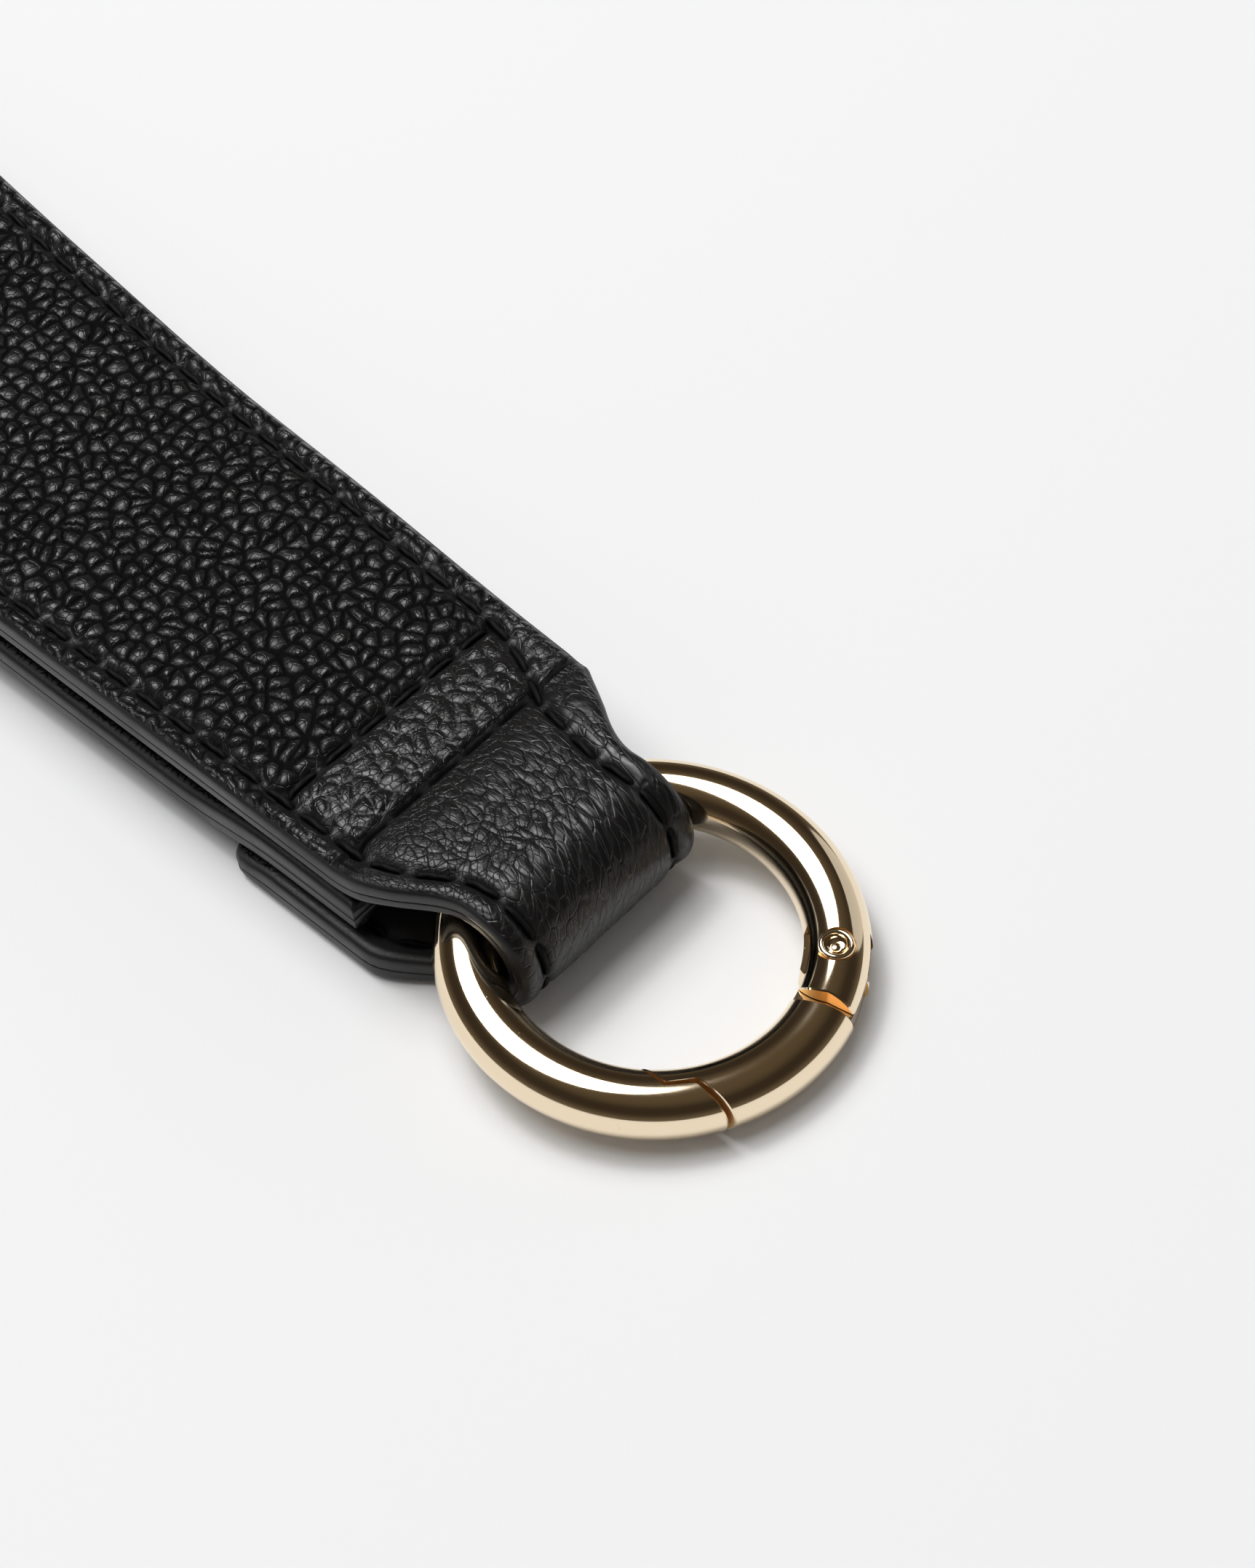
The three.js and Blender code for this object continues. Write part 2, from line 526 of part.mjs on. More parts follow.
place(strap, 'strap_outer_leather', geometryOf(outerLeather), leather);
place(strap, 'strap_lining_leather',
  geometryOf(solid(sweep((s, i) => plyOutline(s, i, liningTop(s), 0)))), lining);
for (const [side, word] of [[-1, 'near'], [1, 'far']]) {
  place(strap, `${word}_row_needle_thread`, geometryOf(solid(rowThread(side, false))), thread);
  place(strap, `${word}_row_bobbin_thread`, geometryOf(solid(rowThread(side, true))), thread);
}
for (const [x, word] of [[frontRow, 'front'], [rearRow, 'rear']]) {
  place(strap, `box_${word}_needle_thread`,
    geometryOf(crossBar(x, topFace - SEAM_DEPTH + THREAD_CLEAR, topFace - THREAD_CLEAR, 0)), thread);
  place(strap, `box_${word}_bobbin_thread`,
    geometryOf(crossBar(x, THREAD_CLEAR, SEAM_DEPTH - THREAD_CLEAR, 0)), thread);
}
place(ring, 'ring_body', geometryOf(ringBody), gold);
place(ring, 'gate', geometryOf(gate), gold);
place(ring, 'hinge_rivet', geometryOf(rivet), gold);
place(ring, 'spring_plunger', geometryOf(plunger), steel);
place(ring, 'gate_spring', geometryOf(spring), steel);

const assembly = new THREE.Group();
assembly.add(strap, ring);
assembly.updateMatrixWorld(true);
const box = new THREE.Box3().setFromObject(assembly, true);
const middle = box.getCenter(new THREE.Vector3());
assembly.position.set(-middle.x, -middle.y, -box.min.z);

const keychain = new THREE.Group();
keychain.add(assembly);
export default keychain;
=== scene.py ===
"""Wristlet keychain: the finish of a leather wrist loop and its spring-gate ring.

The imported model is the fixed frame. The leather, the sewing and the plated ring are made here
around it, each riding on the body that carries it.
"""

from __future__ import annotations

import json
import logging
import math
from dataclasses import dataclass, field
from enum import Enum
from typing import Callable, Sequence

import bmesh
import bpy
import numpy as np
from mathutils import Matrix, Vector


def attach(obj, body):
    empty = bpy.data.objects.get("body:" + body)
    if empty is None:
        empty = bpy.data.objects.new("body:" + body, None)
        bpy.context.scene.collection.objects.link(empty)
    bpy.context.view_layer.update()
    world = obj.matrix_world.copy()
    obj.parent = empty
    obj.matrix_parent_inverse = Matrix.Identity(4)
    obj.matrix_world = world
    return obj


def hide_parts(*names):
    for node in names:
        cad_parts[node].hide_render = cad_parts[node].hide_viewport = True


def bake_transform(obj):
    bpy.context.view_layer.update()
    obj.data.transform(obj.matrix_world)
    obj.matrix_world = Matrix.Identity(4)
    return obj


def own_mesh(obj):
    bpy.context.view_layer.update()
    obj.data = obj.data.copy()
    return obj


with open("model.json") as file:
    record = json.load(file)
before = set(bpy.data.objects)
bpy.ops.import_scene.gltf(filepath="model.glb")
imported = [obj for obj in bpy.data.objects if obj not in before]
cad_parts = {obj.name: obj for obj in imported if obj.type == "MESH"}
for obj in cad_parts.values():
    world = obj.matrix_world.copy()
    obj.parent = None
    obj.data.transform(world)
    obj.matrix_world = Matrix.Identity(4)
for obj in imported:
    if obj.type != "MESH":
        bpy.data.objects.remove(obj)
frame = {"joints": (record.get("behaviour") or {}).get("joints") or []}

LOG = logging.getLogger("wristlet")
MM = 0.001
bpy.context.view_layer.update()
Colour = tuple[float, float, float, float]
SOCKETS = {"vector": "NodeSocketVector", "value": "NodeSocketFloat", "whole": "NodeSocketInt",
           "geometry": "NodeSocketGeometry", "object": "NodeSocketObject", "material": "NodeSocketMaterial"}
FIELDS = ("grain", "drape", "relief")


class Layer(Enum):
    """The three leather layers that the path runs through."""

    LOWER = 0
    UPPER = 1
    TAB = 2


class Side(Enum):
    """The two long edges of the strap."""

    NEAR = -1
    FAR = 1


class Face(Enum):
    """The two show faces of the strap."""

    OUTER = 1
    LINING = -1


# ---------------------------------------------------------------------------------------------
# node graphs
# ---------------------------------------------------------------------------------------------
class Graph:
    """Adds nodes to a shader or geometry tree and links them."""

    def __init__(self, tree: bpy.types.NodeTree) -> None:
        """Keeps the tree.

        Args:
            tree: the tree that nodes are added to.
        """
        self.tree = tree

    def feed(self, node: bpy.types.Node, inputs: dict) -> None:
        """Links sockets to a node's inputs and sets the others.

        Args:
            node: the node that is fed.
            inputs: values or sockets by input name or index.
        """
        for name, value in inputs.items():
            if isinstance(value, bpy.types.NodeSocket):
                self.tree.links.new(value, node.inputs[name])
            else:
                node.inputs[name].default_value = value

    def node(self, kind: str, inputs: dict | None = None, **properties: object) -> bpy.types.Node:
        """Adds one node.

        Args:
            kind: the node's type name.
            inputs: values or sockets by input name or index.
            properties: settings of the node itself.

        Returns:
            The new node.
        """
        made = self.tree.nodes.new(kind)
        for name, value in properties.items():
            setattr(made, name, value)
        self.feed(made, inputs or {})
        return made

    def math(self, operation: str, a: object, b: object = 0.0, clamp: bool = False) -> bpy.types.NodeSocket:
        """Adds a math node and returns its result.

        Args:
            operation: the node's operation.
            a: first value or socket.
            b: second value or socket.
            clamp: whether the result is held between 0 and 1.

        Returns:
            The result socket.
        """
        return self.node("ShaderNodeMath", {0: a, 1: b}, operation=operation, use_clamp=clamp).outputs[0]

    def line(self, value: object, slope: object, start: object) -> bpy.types.NodeSocket:
        """Straight line through a value: slope times the value, plus the start.

        Args:
            value: the socket that is scaled.
            slope: its factor.
            start: what is added.

        Returns:
            The result socket.
        """
        made = self.node("ShaderNodeMath", {0: value, 1: slope, 2: start}, operation="MULTIPLY_ADD")
        return made.outputs[0]

    def vector(self, operation: str, a: object, b: object) -> bpy.types.NodeSocket:
        """Adds a vector math node and returns its result.

        Args:
            operation: the node's operation.
            a: first vector or socket.
            b: second vector or socket, or the factor of a scale.

        Returns:
            The result socket.
        """
        second = "Scale" if operation == "SCALE" else 1
        return self.node("ShaderNodeVectorMath", {0: a, second: b}, operation=operation).outputs[0]

    def cells(self, vector: object, scale: object, **options: object) -> bpy.types.Node:
        """Adds a cell pattern.

        Args:
            vector: where the pattern is read.
            scale: cells in a unit of length.
            options: how far the cells stray as randomness, and settings of the node.

        Returns:
            The node; its Distance is measured to the cell's edge unless another feature is set.
        """
        settings = {"voronoi_dimensions": "2D", "feature": "DISTANCE_TO_EDGE", **options}
        stray = settings.pop("randomness", 1.0)
        return self.node("ShaderNodeTexVoronoi", {"Vector": vector, "Scale": scale, "Randomness": stray},
                         **settings)

    def ramp(self, value: object, low: float, high: float) -> bpy.types.NodeSocket:
        """Smooth step of a value.

        Args:
            value: the socket that is stepped.
            low: the value that gives 0.
            high: the value that gives 1.

        Returns:
            The result socket.
        """
        return self.node("ShaderNodeMapRange", {"Value": value, "From Min": low, "From Max": high},
                         interpolation_type="SMOOTHSTEP").outputs["Result"]

    def mix(self, factor: object, a: object, b: object) -> bpy.types.NodeSocket:
        """Mixes two colours.

        Args:
            factor: share of the second colour.
            a: first colour or socket.
            b: second colour or socket.

        Returns:
            The colour socket.
        """
        return self.node("ShaderNodeMix", {0: factor, 6: a, 7: b}, data_type="RGBA").outputs[2]

    def place(self) -> bpy.types.NodeSocket:
        """Place on the object, as a vector socket."""
        return self.node("ShaderNodeTexCoord").outputs["Object"]

    def bump(self, height: object, distance: float, invert: bool = False) -> bpy.types.NodeSocket:
        """Normal that a height gives.

        Args:
            height: the height's socket.
            distance: metres that a height of 1 stands for.
            invert: whether the height goes inwards.

        Returns:
            The normal socket.
        """
        return self.node("ShaderNodeBump", {"Height": height, "Distance": distance}, invert=invert).outputs[0]


@dataclass(frozen=True)
class Emboss:
    """Shape of the leather's grain, in millimetres of the strap: pebbles, and plates where it is pulled."""

    wander_scale: float = 0.55
    wander: float = 0.9
    plate_wander: float = 1.9
    stray: float = 0.84
    pebble_fall: float = 1.15
    pebble_edge: tuple[float, float] = (-0.02, 0.24)
    least_rise: float = 0.62
    rise_spread: float = 0.55
    plate_edge: float = 0.14
    plate_valley: float = -0.06
    plate_crown: float = 0.8
    pebble_height: float = 0.34
    plate_height: float = 0.052

    def nodes(self, graph: Graph, fields: dict[str, object], pebble: object, plate: object
              ) -> tuple[bpy.types.NodeSocket, bpy.types.NodeSocket]:
        """Adds the nodes that give the grain, in a shader or a geometry tree.

        Args:
            graph: the tree to add to.
            fields: three vectors by name. Grain is the place along and across the strap. Drape is a
                place that follows the pulled leather round the neck. Relief weighs the pebbles and
                the plates, and its third part is how deep a place lies in a seam.
            pebble: size of a pebble in millimetres.
            plate: size of a pulled plate in millimetres.

        Returns:
            The height in millimetres for both kinds together, and the valleys between them as 0 to 1.
        """
        part = graph.node("ShaderNodeSeparateXYZ", {0: fields["relief"]}).outputs
        wander = graph.node("ShaderNodeTexNoise", {"Vector": fields["grain"], "Scale": self.wander_scale,
                                                   "Detail": 1.0})
        shift = graph.vector("SUBTRACT", wander.outputs["Color"], (0.5, 0.5, 0.5))
        shift = graph.vector("SCALE", shift, self.wander)
        warped = graph.vector("ADD", fields["grain"], shift)
        per_pebble, per_plate = (graph.math("DIVIDE", 1.0, size) for size in (pebble, plate))
        cells = graph.cells(warped, per_pebble, randomness=self.stray)
        middles = graph.cells(warped, per_pebble, randomness=self.stray, feature="F1")
        spread = graph.math("POWER", middles.outputs["Distance"], 2.0)
        mound = graph.math("SUBTRACT", 1.0, graph.math("MULTIPLY", spread, self.pebble_fall), clamp=True)
        dome = graph.math("MULTIPLY", mound, graph.ramp(cells.outputs["Distance"], *self.pebble_edge))
        tone = graph.node("ShaderNodeSeparateXYZ", {0: middles.outputs["Color"]}).outputs[0]
        lift = graph.line(tone, self.rise_spread, self.least_rise)
        pebbles = graph.math("MULTIPLY", graph.math("MULTIPLY", dome, lift), part[0])
        pulled = graph.vector("ADD", fields["drape"], graph.vector("SCALE", shift, self.plate_wander))
        edge = graph.cells(pulled, per_plate).outputs["Distance"]
        flat = graph.ramp(edge, 0.0, self.plate_edge)
        crowned = graph.math("ADD", flat, graph.math("MULTIPLY", edge, self.plate_crown))
        plates = graph.math("MULTIPLY", crowned, part[1])
        height = graph.math("ADD", graph.math("MULTIPLY", pebbles, self.pebble_height),
                            graph.math("MULTIPLY", plates, self.plate_height))
        tops = graph.ramp(edge, self.plate_valley, self.plate_edge)
        high = graph.math("MAXIMUM", graph.math("MULTIPLY", dome, part[0]),
                          graph.math("MULTIPLY", tops, part[1]))
        covered = graph.math("MAXIMUM", part[0], part[1])
        # low ground between pebbles and plates, and seam grooves: mask for painted shade in the leather's
        # colour
        valley = graph.math("MAXIMUM", graph.math("SUBTRACT", covered, high, clamp=True), part[2])
        return height, valley


def socketed(name: str, kind: str, inputs: dict[str, str | float | int], outputs: dict[str, str]
             ) -> tuple[Graph, bpy.types.Node, bpy.types.Node]:
    """Makes a node group with its sockets.

    Args:
        name: name of the group.
        kind: type of the tree.
        inputs: each input's label, with a word for its sort or with the number it starts at.
        outputs: each output's label, with a word for its sort.

    Returns:
        The graph, its input node and its output node.
    """
    tree = bpy.data.node_groups.new(name, kind)
    for label, sort in inputs.items():
        number = not isinstance(sort, str)
        word = ("whole" if isinstance(sort, int) else "value") if number else sort
        made = tree.interface.new_socket(name=label, in_out="INPUT", socket_type=SOCKETS[word])
        if number:
            made.default_value = sort
    for label, sort in outputs.items():
        tree.interface.new_socket(name=label, in_out="OUTPUT", socket_type=SOCKETS[sort])
    graph = Graph(tree)
    return graph, graph.node("NodeGroupInput"), graph.node("NodeGroupOutput")


def grain_group() -> bpy.types.NodeTree:
    """Shader group for leather grain: height for bump, the valley mask that the leather paints darker as
    shade, and fine pores.
    """
    vectors = {label.capitalize(): "vector" for label in FIELDS}
    graph, given, result = socketed(
        "leather_grain", "ShaderNodeTree",
        {**vectors, "Pebble": 1.7, "Plate": 1.7, "Shape": 0.4, "Wrinkle": 0.02},
        {"Height": "value", "Valley": "value", "Pores": "value"})
    fields = {label: given.outputs[label.capitalize()] for label in FIELDS}
    height, valley = Emboss().nodes(graph, fields, given.outputs["Pebble"], given.outputs["Plate"])
    pores = graph.node("ShaderNodeTexNoise", {"Vector": fields["drape"], "Scale": 2.6, "Detail": 5.0,
                                              "Roughness": 0.62, "Distortion": 0.8}).outputs["Fac"]
    creases = graph.ramp(graph.cells(fields["drape"], 1.9).outputs["Distance"], 0.0, 0.10)
    small = graph.math("ADD", graph.math("MULTIPLY", creases, 0.7), pores)
    total = graph.math("ADD", graph.math("MULTIPLY", height, given.outputs["Shape"]),
                       graph.math("MULTIPLY", small, given.outputs["Wrinkle"]))
    graph.feed(result, {"Height": total, "Valley": valley, "Pores": pores})
    return graph.tree


def handling_group() -> bpy.types.NodeTree:
    """Shader group for the marks that handling leaves: cloudy smears, hairline scratches and pits."""
    graph, given, result = socketed("handling_marks", "ShaderNodeTree", {"Vector": "vector", "Scale": 400.0},
                                    {"Smear": "value", "Scratch": "value", "Pit": "value"})
    vector = given.outputs["Vector"]
    clouds, hairs, specks = (graph.math("MULTIPLY", given.outputs["Scale"], part) for part in (0.4, 9.0, 3.0))
    smear = graph.node("ShaderNodeTexNoise", {"Vector": vector, "Scale": clouds, "Detail": 3.0})
    drawn = graph.vector("MULTIPLY", vector, (1.0, 0.06, 0.5))
    hair = graph.node("ShaderNodeTexNoise", {"Vector": drawn, "Scale": hairs, "Detail": 2.0})
    pits = graph.cells(vector, specks, voronoi_dimensions="3D", feature="F1")
    graph.feed(result, {"Smear": graph.ramp(smear.outputs["Fac"], 0.35, 0.7),
                        "Scratch": graph.ramp(hair.outputs["Fac"], 0.74, 0.82),
                        "Pit": graph.ramp(pits.outputs["Distance"], 0.05, 0.02)})
    return graph.tree


# ---------------------------------------------------------------------------------------------
# finishes
# ---------------------------------------------------------------------------------------------
def new_material(name: str) -> tuple[bpy.types.Material, Graph, bpy.types.Node]:
    """Makes a material with a Principled shader.

    Args:
        name: name of the material.

    Returns:
        The material, its graph and its Principled node.
    """
    material = bpy.data.materials.new(name)
    material.use_nodes = True
    return material, Graph(material.node_tree), material.node_tree.nodes["Principled BSDF"]


@dataclass(frozen=True)
class Leather:
    """Drum-dyed leather with an embossed grain, its fine heights in millimetres. Its valleys and seam grooves
    take a darker colour as painted shade.
    """

    name: str
    # painted shade: colour of the grain valleys and seam grooves
    valley: Colour = (0.0014, 0.0014, 0.0015, 1.0)
    crown: Colour = (0.0056, 0.0056, 0.0062, 1.0)
    roughness: float = 0.28
    valley_roughness: float = 0.78
    pore_roughness: float = 0.22
    shine: float = 0.50
    valley_shine: float = 0.08
    valley_from: float = 0.25
    valley_to: float = 0.85
    pebble: float = 1.45
    plate: float = 1.0
    shape: float = 0.5
    wrinkle: float = 0.037

    def material(self, grain: bpy.types.NodeTree) -> bpy.types.Material:
        """Builds the material.

        Args:
            grain: the shared leather grain group.

        Returns:
            The material.
        """
        material, graph, shader = new_material(self.name)
        pattern = graph.node("ShaderNodeGroup", node_tree=grain)
        graph.feed(pattern, {"Pebble": self.pebble, "Plate": self.plate, "Shape": self.shape,
                             "Wrinkle": self.wrinkle})
        for label in FIELDS:
            stored = graph.node("ShaderNodeAttribute", attribute_name=label)
            graph.feed(pattern, {label.capitalize(): stored.outputs["Vector"]})
        valley, pores = pattern.outputs["Valley"], pattern.outputs["Pores"]
        deep = graph.ramp(valley, self.valley_from, self.valley_to)
        rough = graph.line(valley, self.valley_roughness - self.roughness, self.roughness)
        uneven = graph.math("MULTIPLY", graph.math("SUBTRACT", pores, 0.5), self.pore_roughness)
        shine = graph.line(deep, self.valley_shine - self.shine, self.shine)
        # base colour goes from the crown colour to the darker valley colour along the mask: painted shade
        graph.feed(shader, {"Base Color": graph.mix(deep, self.crown, self.valley),
                            "Roughness": graph.math("ADD", rough, uneven), "Specular IOR Level": shine,
                            "Normal": graph.bump(pattern.outputs["Height"], MM)})
        return material


@dataclass(frozen=True)
class EdgePaint:
    """Satin paint on the cut edges, laid in coats that leave faint ripples."""

    name: str = "edge_paint"
    colour: Colour = (0.0075, 0.0078, 0.0088, 1.0)
    smeared: float = 0.75
    roughness: float = 0.38
    smear_roughness: float = 0.16
    marks_scale: float = 260.0
    ripple_scale: float = 420.0
    ripple: float = 0.00008

    def material(self, marks: bpy.types.NodeTree) -> bpy.types.Material:
        """Builds the material.

        Args:
            marks: the shared handling group.

        Returns:
            The material.
        """
        material, graph, shader = new_material(self.name)
        place = graph.place()
        wear = graph.node("ShaderNodeGroup", node_tree=marks)
        graph.feed(wear, {"Vector": place, "Scale": self.marks_scale})
        smear = wear.outputs["Smear"]
        darker = (*(self.smeared * part for part in self.colour[:3]), 1.0)
        ripple = graph.node("ShaderNodeTexNoise", {"Vector": place, "Scale": self.ripple_scale,
                                                   "Detail": 3.0})
        graph.feed(shader, {"Base Color": graph.mix(smear, self.colour, darker),
                            "Roughness": graph.line(smear, self.smear_roughness, self.roughness),
                            "Normal": graph.bump(ripple.outputs["Fac"], self.ripple)})
        return material


@dataclass(frozen=True)
class Thread:
    """Waxed black sewing thread, laid up from strands."""

    name: str = "waxed_thread"
    dark: Colour = (0.0012, 0.0012, 0.0014, 1.0)
    light: Colour = (0.005, 0.005, 0.0055, 1.0)
    roughness: float = 0.66
    shine: float = 0.16
    strands: float = 2600.0
    waver: float = 1.5
    fibre: float = 0.5
    depth: float = 0.00006

    def material(self) -> bpy.types.Material:
        """Builds the material.

        Returns:
            The material.
        """
        material, graph, shader = new_material(self.name)
        place = graph.place()
        twist = graph.node("ShaderNodeTexWave", {"Vector": place, "Scale": self.strands / math.tau,
                                                 "Distortion": self.waver, "Detail": 1.0},
                           bands_direction="DIAGONAL").outputs["Fac"]
        fibres = graph.node("ShaderNodeTexNoise", {"Vector": place, "Scale": 2.0 * self.strands})
        height = graph.math("ADD", twist, graph.math("MULTIPLY", fibres.outputs["Fac"], self.fibre))
        graph.feed(shader, {"Base Color": graph.mix(twist, self.dark, self.light),
                            "Normal": graph.bump(height, self.depth),
                            "Roughness": self.roughness, "Specular IOR Level": self.shine})
        return material


@dataclass(frozen=True)
class Plating:
    """Polished plating or bare metal with light handling marks."""

    name: str
    colour: Colour
    worn: Colour
    roughness: float = 0.07
    smear_roughness: float = 0.035
    scratch_roughness: float = 0.12
    scratch: float = 0.5
    wear: float = 0.5
    depth: float = 0.000003
    marks_scale: float = 340.0

    def material(self, marks: bpy.types.NodeTree) -> bpy.types.Material:
        """Builds the material.

        Args:
            marks: the shared handling group.

        Returns:
            The material.
        """
        material, graph, shader = new_material(self.name)
        place = graph.place()
        group = graph.node("ShaderNodeGroup", node_tree=marks)
        graph.feed(group, {"Vector": place, "Scale": self.marks_scale})
        smear, scratch, pit = (group.outputs[label] for label in ("Smear", "Scratch", "Pit"))
        marked = graph.math("MAXIMUM", graph.math("MULTIPLY", scratch, self.scratch), pit)
        rough = graph.math("ADD", graph.line(smear, self.smear_roughness, self.roughness),
                           graph.math("MULTIPLY", marked, self.scratch_roughness))
        worn = graph.math("MULTIPLY", marked, self.wear)
        graph.feed(shader, {"Base Color": graph.mix(worn, self.colour, self.worn), "Roughness": rough,
                            "Normal": graph.bump(marked, self.depth, invert=True), "Metallic": 1.0})
        return material


@dataclass
class Finishes:
    """Every finish of the object, made once."""

    outer: bpy.types.Material = field(init=False)
    lining: bpy.types.Material = field(init=False)
    paint: bpy.types.Material = field(init=False)
    thread: bpy.types.Material = field(init=False)
    gold: bpy.types.Material = field(init=False)
    recess_reflection: bpy.types.Material = field(init=False)
    steel: bpy.types.Material = field(init=False)

    def __post_init__(self) -> None:
        """Builds the shared groups and the materials."""
        grain, marks = grain_group(), handling_group()
        self.outer = Leather("pebbled_leather").material(grain)
        self.lining = Leather("lining_leather", pebble=0.7, shape=0.10, wrinkle=0.010, roughness=0.5,
                              crown=(0.016, 0.0155, 0.016, 1.0)).material(grain)
        self.paint = EdgePaint().material(marks)
        self.thread = Thread().material()
        self.gold = Plating("pale_gold_plating", (0.90, 0.755, 0.55, 1.0), (0.62, 0.45, 0.24, 1.0)
                            ).material(marks)
        # cut walls, bore and split faces: deeper orange as painted reflection of light bounced between the
        # gold walls, and painted shade
        self.recess_reflection = Plating("plating_in_recesses", (0.86, 0.55, 0.22, 1.0), (0.5, 0.3, 0.1, 1.0),
                              roughness=0.45).material(marks)
        self.steel = Plating("spring_steel", (0.55, 0.55, 0.55, 1.0), (0.3, 0.3, 0.3, 1.0),
                             roughness=0.3).material(marks)


# ---------------------------------------------------------------------------------------------
# meshes
# ---------------------------------------------------------------------------------------------
def linked(name: str, data: bpy.types.ID) -> bpy.types.Object:
    """Makes an object in the scene.

    Args:
        name: name of the object.
        data: its mesh, camera or light.

    Returns:
        The object.
    """
    made = bpy.data.objects.new(name, data)
    bpy.context.scene.collection.objects.link(made)
    return made


def mesh_object(name: str, points: np.ndarray, faces: Sequence[Sequence[int]],
                materials: Sequence[bpy.types.Material], slots: Sequence[int] | None = None,
                smooth: bool = True) -> bpy.types.Object:
    """Makes a mesh object from points in millimetres of the row frame.

    Args:
        name: name of the object.
        points: N by 3 array in millimetres.
        faces: vertex indices of each face.
        materials: the object's materials.
        slots: material index of each face.
        smooth: whether faces are shaded smooth.

    Returns:
        The linked object.
    """
    mesh = bpy.data.meshes.new(name)
    mesh.from_pydata((np.asarray(points, float) * MM).tolist(), [], faces)
    for material in materials:
        mesh.materials.append(material)
    if slots is not None:
        mesh.polygons.foreach_set("material_index", np.asarray(slots, np.int32))
    mesh.polygons.foreach_set("use_smooth", np.full(len(mesh.polygons), smooth))
    mesh.update()
    return linked(name, mesh)


def baked(made: bpy.types.Object) -> bpy.types.Object:
    """Turns an object with modifiers into a plain mesh object.

    Args:
        made: the object whose modifiers are applied.

    Returns:
        The same object with the evaluated mesh and no modifiers.
    """
    graph = bpy.context.evaluated_depsgraph_get()
    result = bpy.data.meshes.new_from_object(made.evaluated_get(graph), preserve_all_data_layers=True,
                                             depsgraph=graph)
    made.modifiers.clear()
    made.data = result
    return made


def with_nodes(made: bpy.types.Object, tree: bpy.types.NodeTree, values: dict[str, object]
               ) -> bpy.types.Object:
    """Runs a Geometry Nodes tree on an object and keeps its result as a plain mesh.

    Args:
        made: the object that gets the tree.
        tree: the tree.
        values: value of each named input.

    Returns:
        The object with the resulting mesh.
    """
    modifier = made.modifiers.new(tree.name, "NODES")
    modifier.node_group = tree
    for item in tree.interface.items_tree:
        if item.item_type == "SOCKET" and item.in_out == "INPUT" and item.name in values:
            modifier[item.identifier] = values[item.name]
    return baked(made)


def sculpt_attribute(made: bpy.types.Object, name: str, values: np.ndarray) -> None:
    """Stores a vector for each vertex.

    Args:
        made: the mesh object.
        name: name of the attribute.
        values: N by 3 array.
    """
    layer = made.data.attributes.new(name, "FLOAT_VECTOR", "POINT")
    layer.data.foreach_set("vector", np.asarray(values, np.float32).ravel())


# ---------------------------------------------------------------------------------------------
# the strap
# ---------------------------------------------------------------------------------------------
def smoothstep(value: np.ndarray, low: float, high: float) -> np.ndarray:
    """Smooth step from 0 at low to 1 at high."""
    t = np.clip((np.asarray(value, float) - low) / (high - low), 0.0, 1.0)
    return t * t * (3.0 - 2.0 * t)


def circle(sides: int) -> np.ndarray:
    """Points round a circle of radius 1."""
    turn = np.linspace(0, math.tau, sides, endpoint=False)
    return np.stack([np.cos(turn), np.sin(turn)], 1)


def arc(start: float, end: float, steps: int) -> np.ndarray:
    """Points along an arc of radius 1, between two angles in degrees."""
    turn = np.radians(np.linspace(start, end, steps))
    return np.stack([np.cos(turn), np.sin(turn)], 1)


@dataclass
class Ring:
    """Sizes of the ring in millimetres, and its place worked out from the gate's joint."""

    outside: float = 30.0
    wire: float = 4.64
    rivet_angle: float = 34.4
    rivet_inset: float = 0.28
    centre: Vector = field(init=False)
    tilt: float = field(init=False)

    def __post_init__(self) -> None:
        """Finds the ring's centre and tilt from the rivet and the gate's axis."""
        hinge = next(j for j in frame["joints"] if j["name"] == "gate_hinge")
        self.tilt = math.asin(-hinge["axis"][0] / Vector(hinge["axis"]).length)
        angle = math.radians(self.rivet_angle)
        arm = Vector((math.cos(angle), math.sin(angle), 0.0)) * (self.mean - self.rivet_inset)
        self.centre = Vector(hinge["pos_m"]) / MM - self.turn() @ arm

    def turn(self) -> Matrix:
        """Rotation from the ring's own plane to the row frame."""
        return Matrix.Rotation(self.tilt, 3, "Y")

    @property
    def tube(self) -> float:
        """Radius of the wire."""
        return self.wire / 2

    @property
    def mean(self) -> float:
        """Radius of the wire's centre line."""
        return self.outside / 2 - self.tube

    def to_row(self, points: np.ndarray) -> np.ndarray:
        """Moves points of the ring's plane into the row frame, in millimetres."""
        return np.asarray(points, float) @ np.array(self.turn()).T + np.array(self.centre)


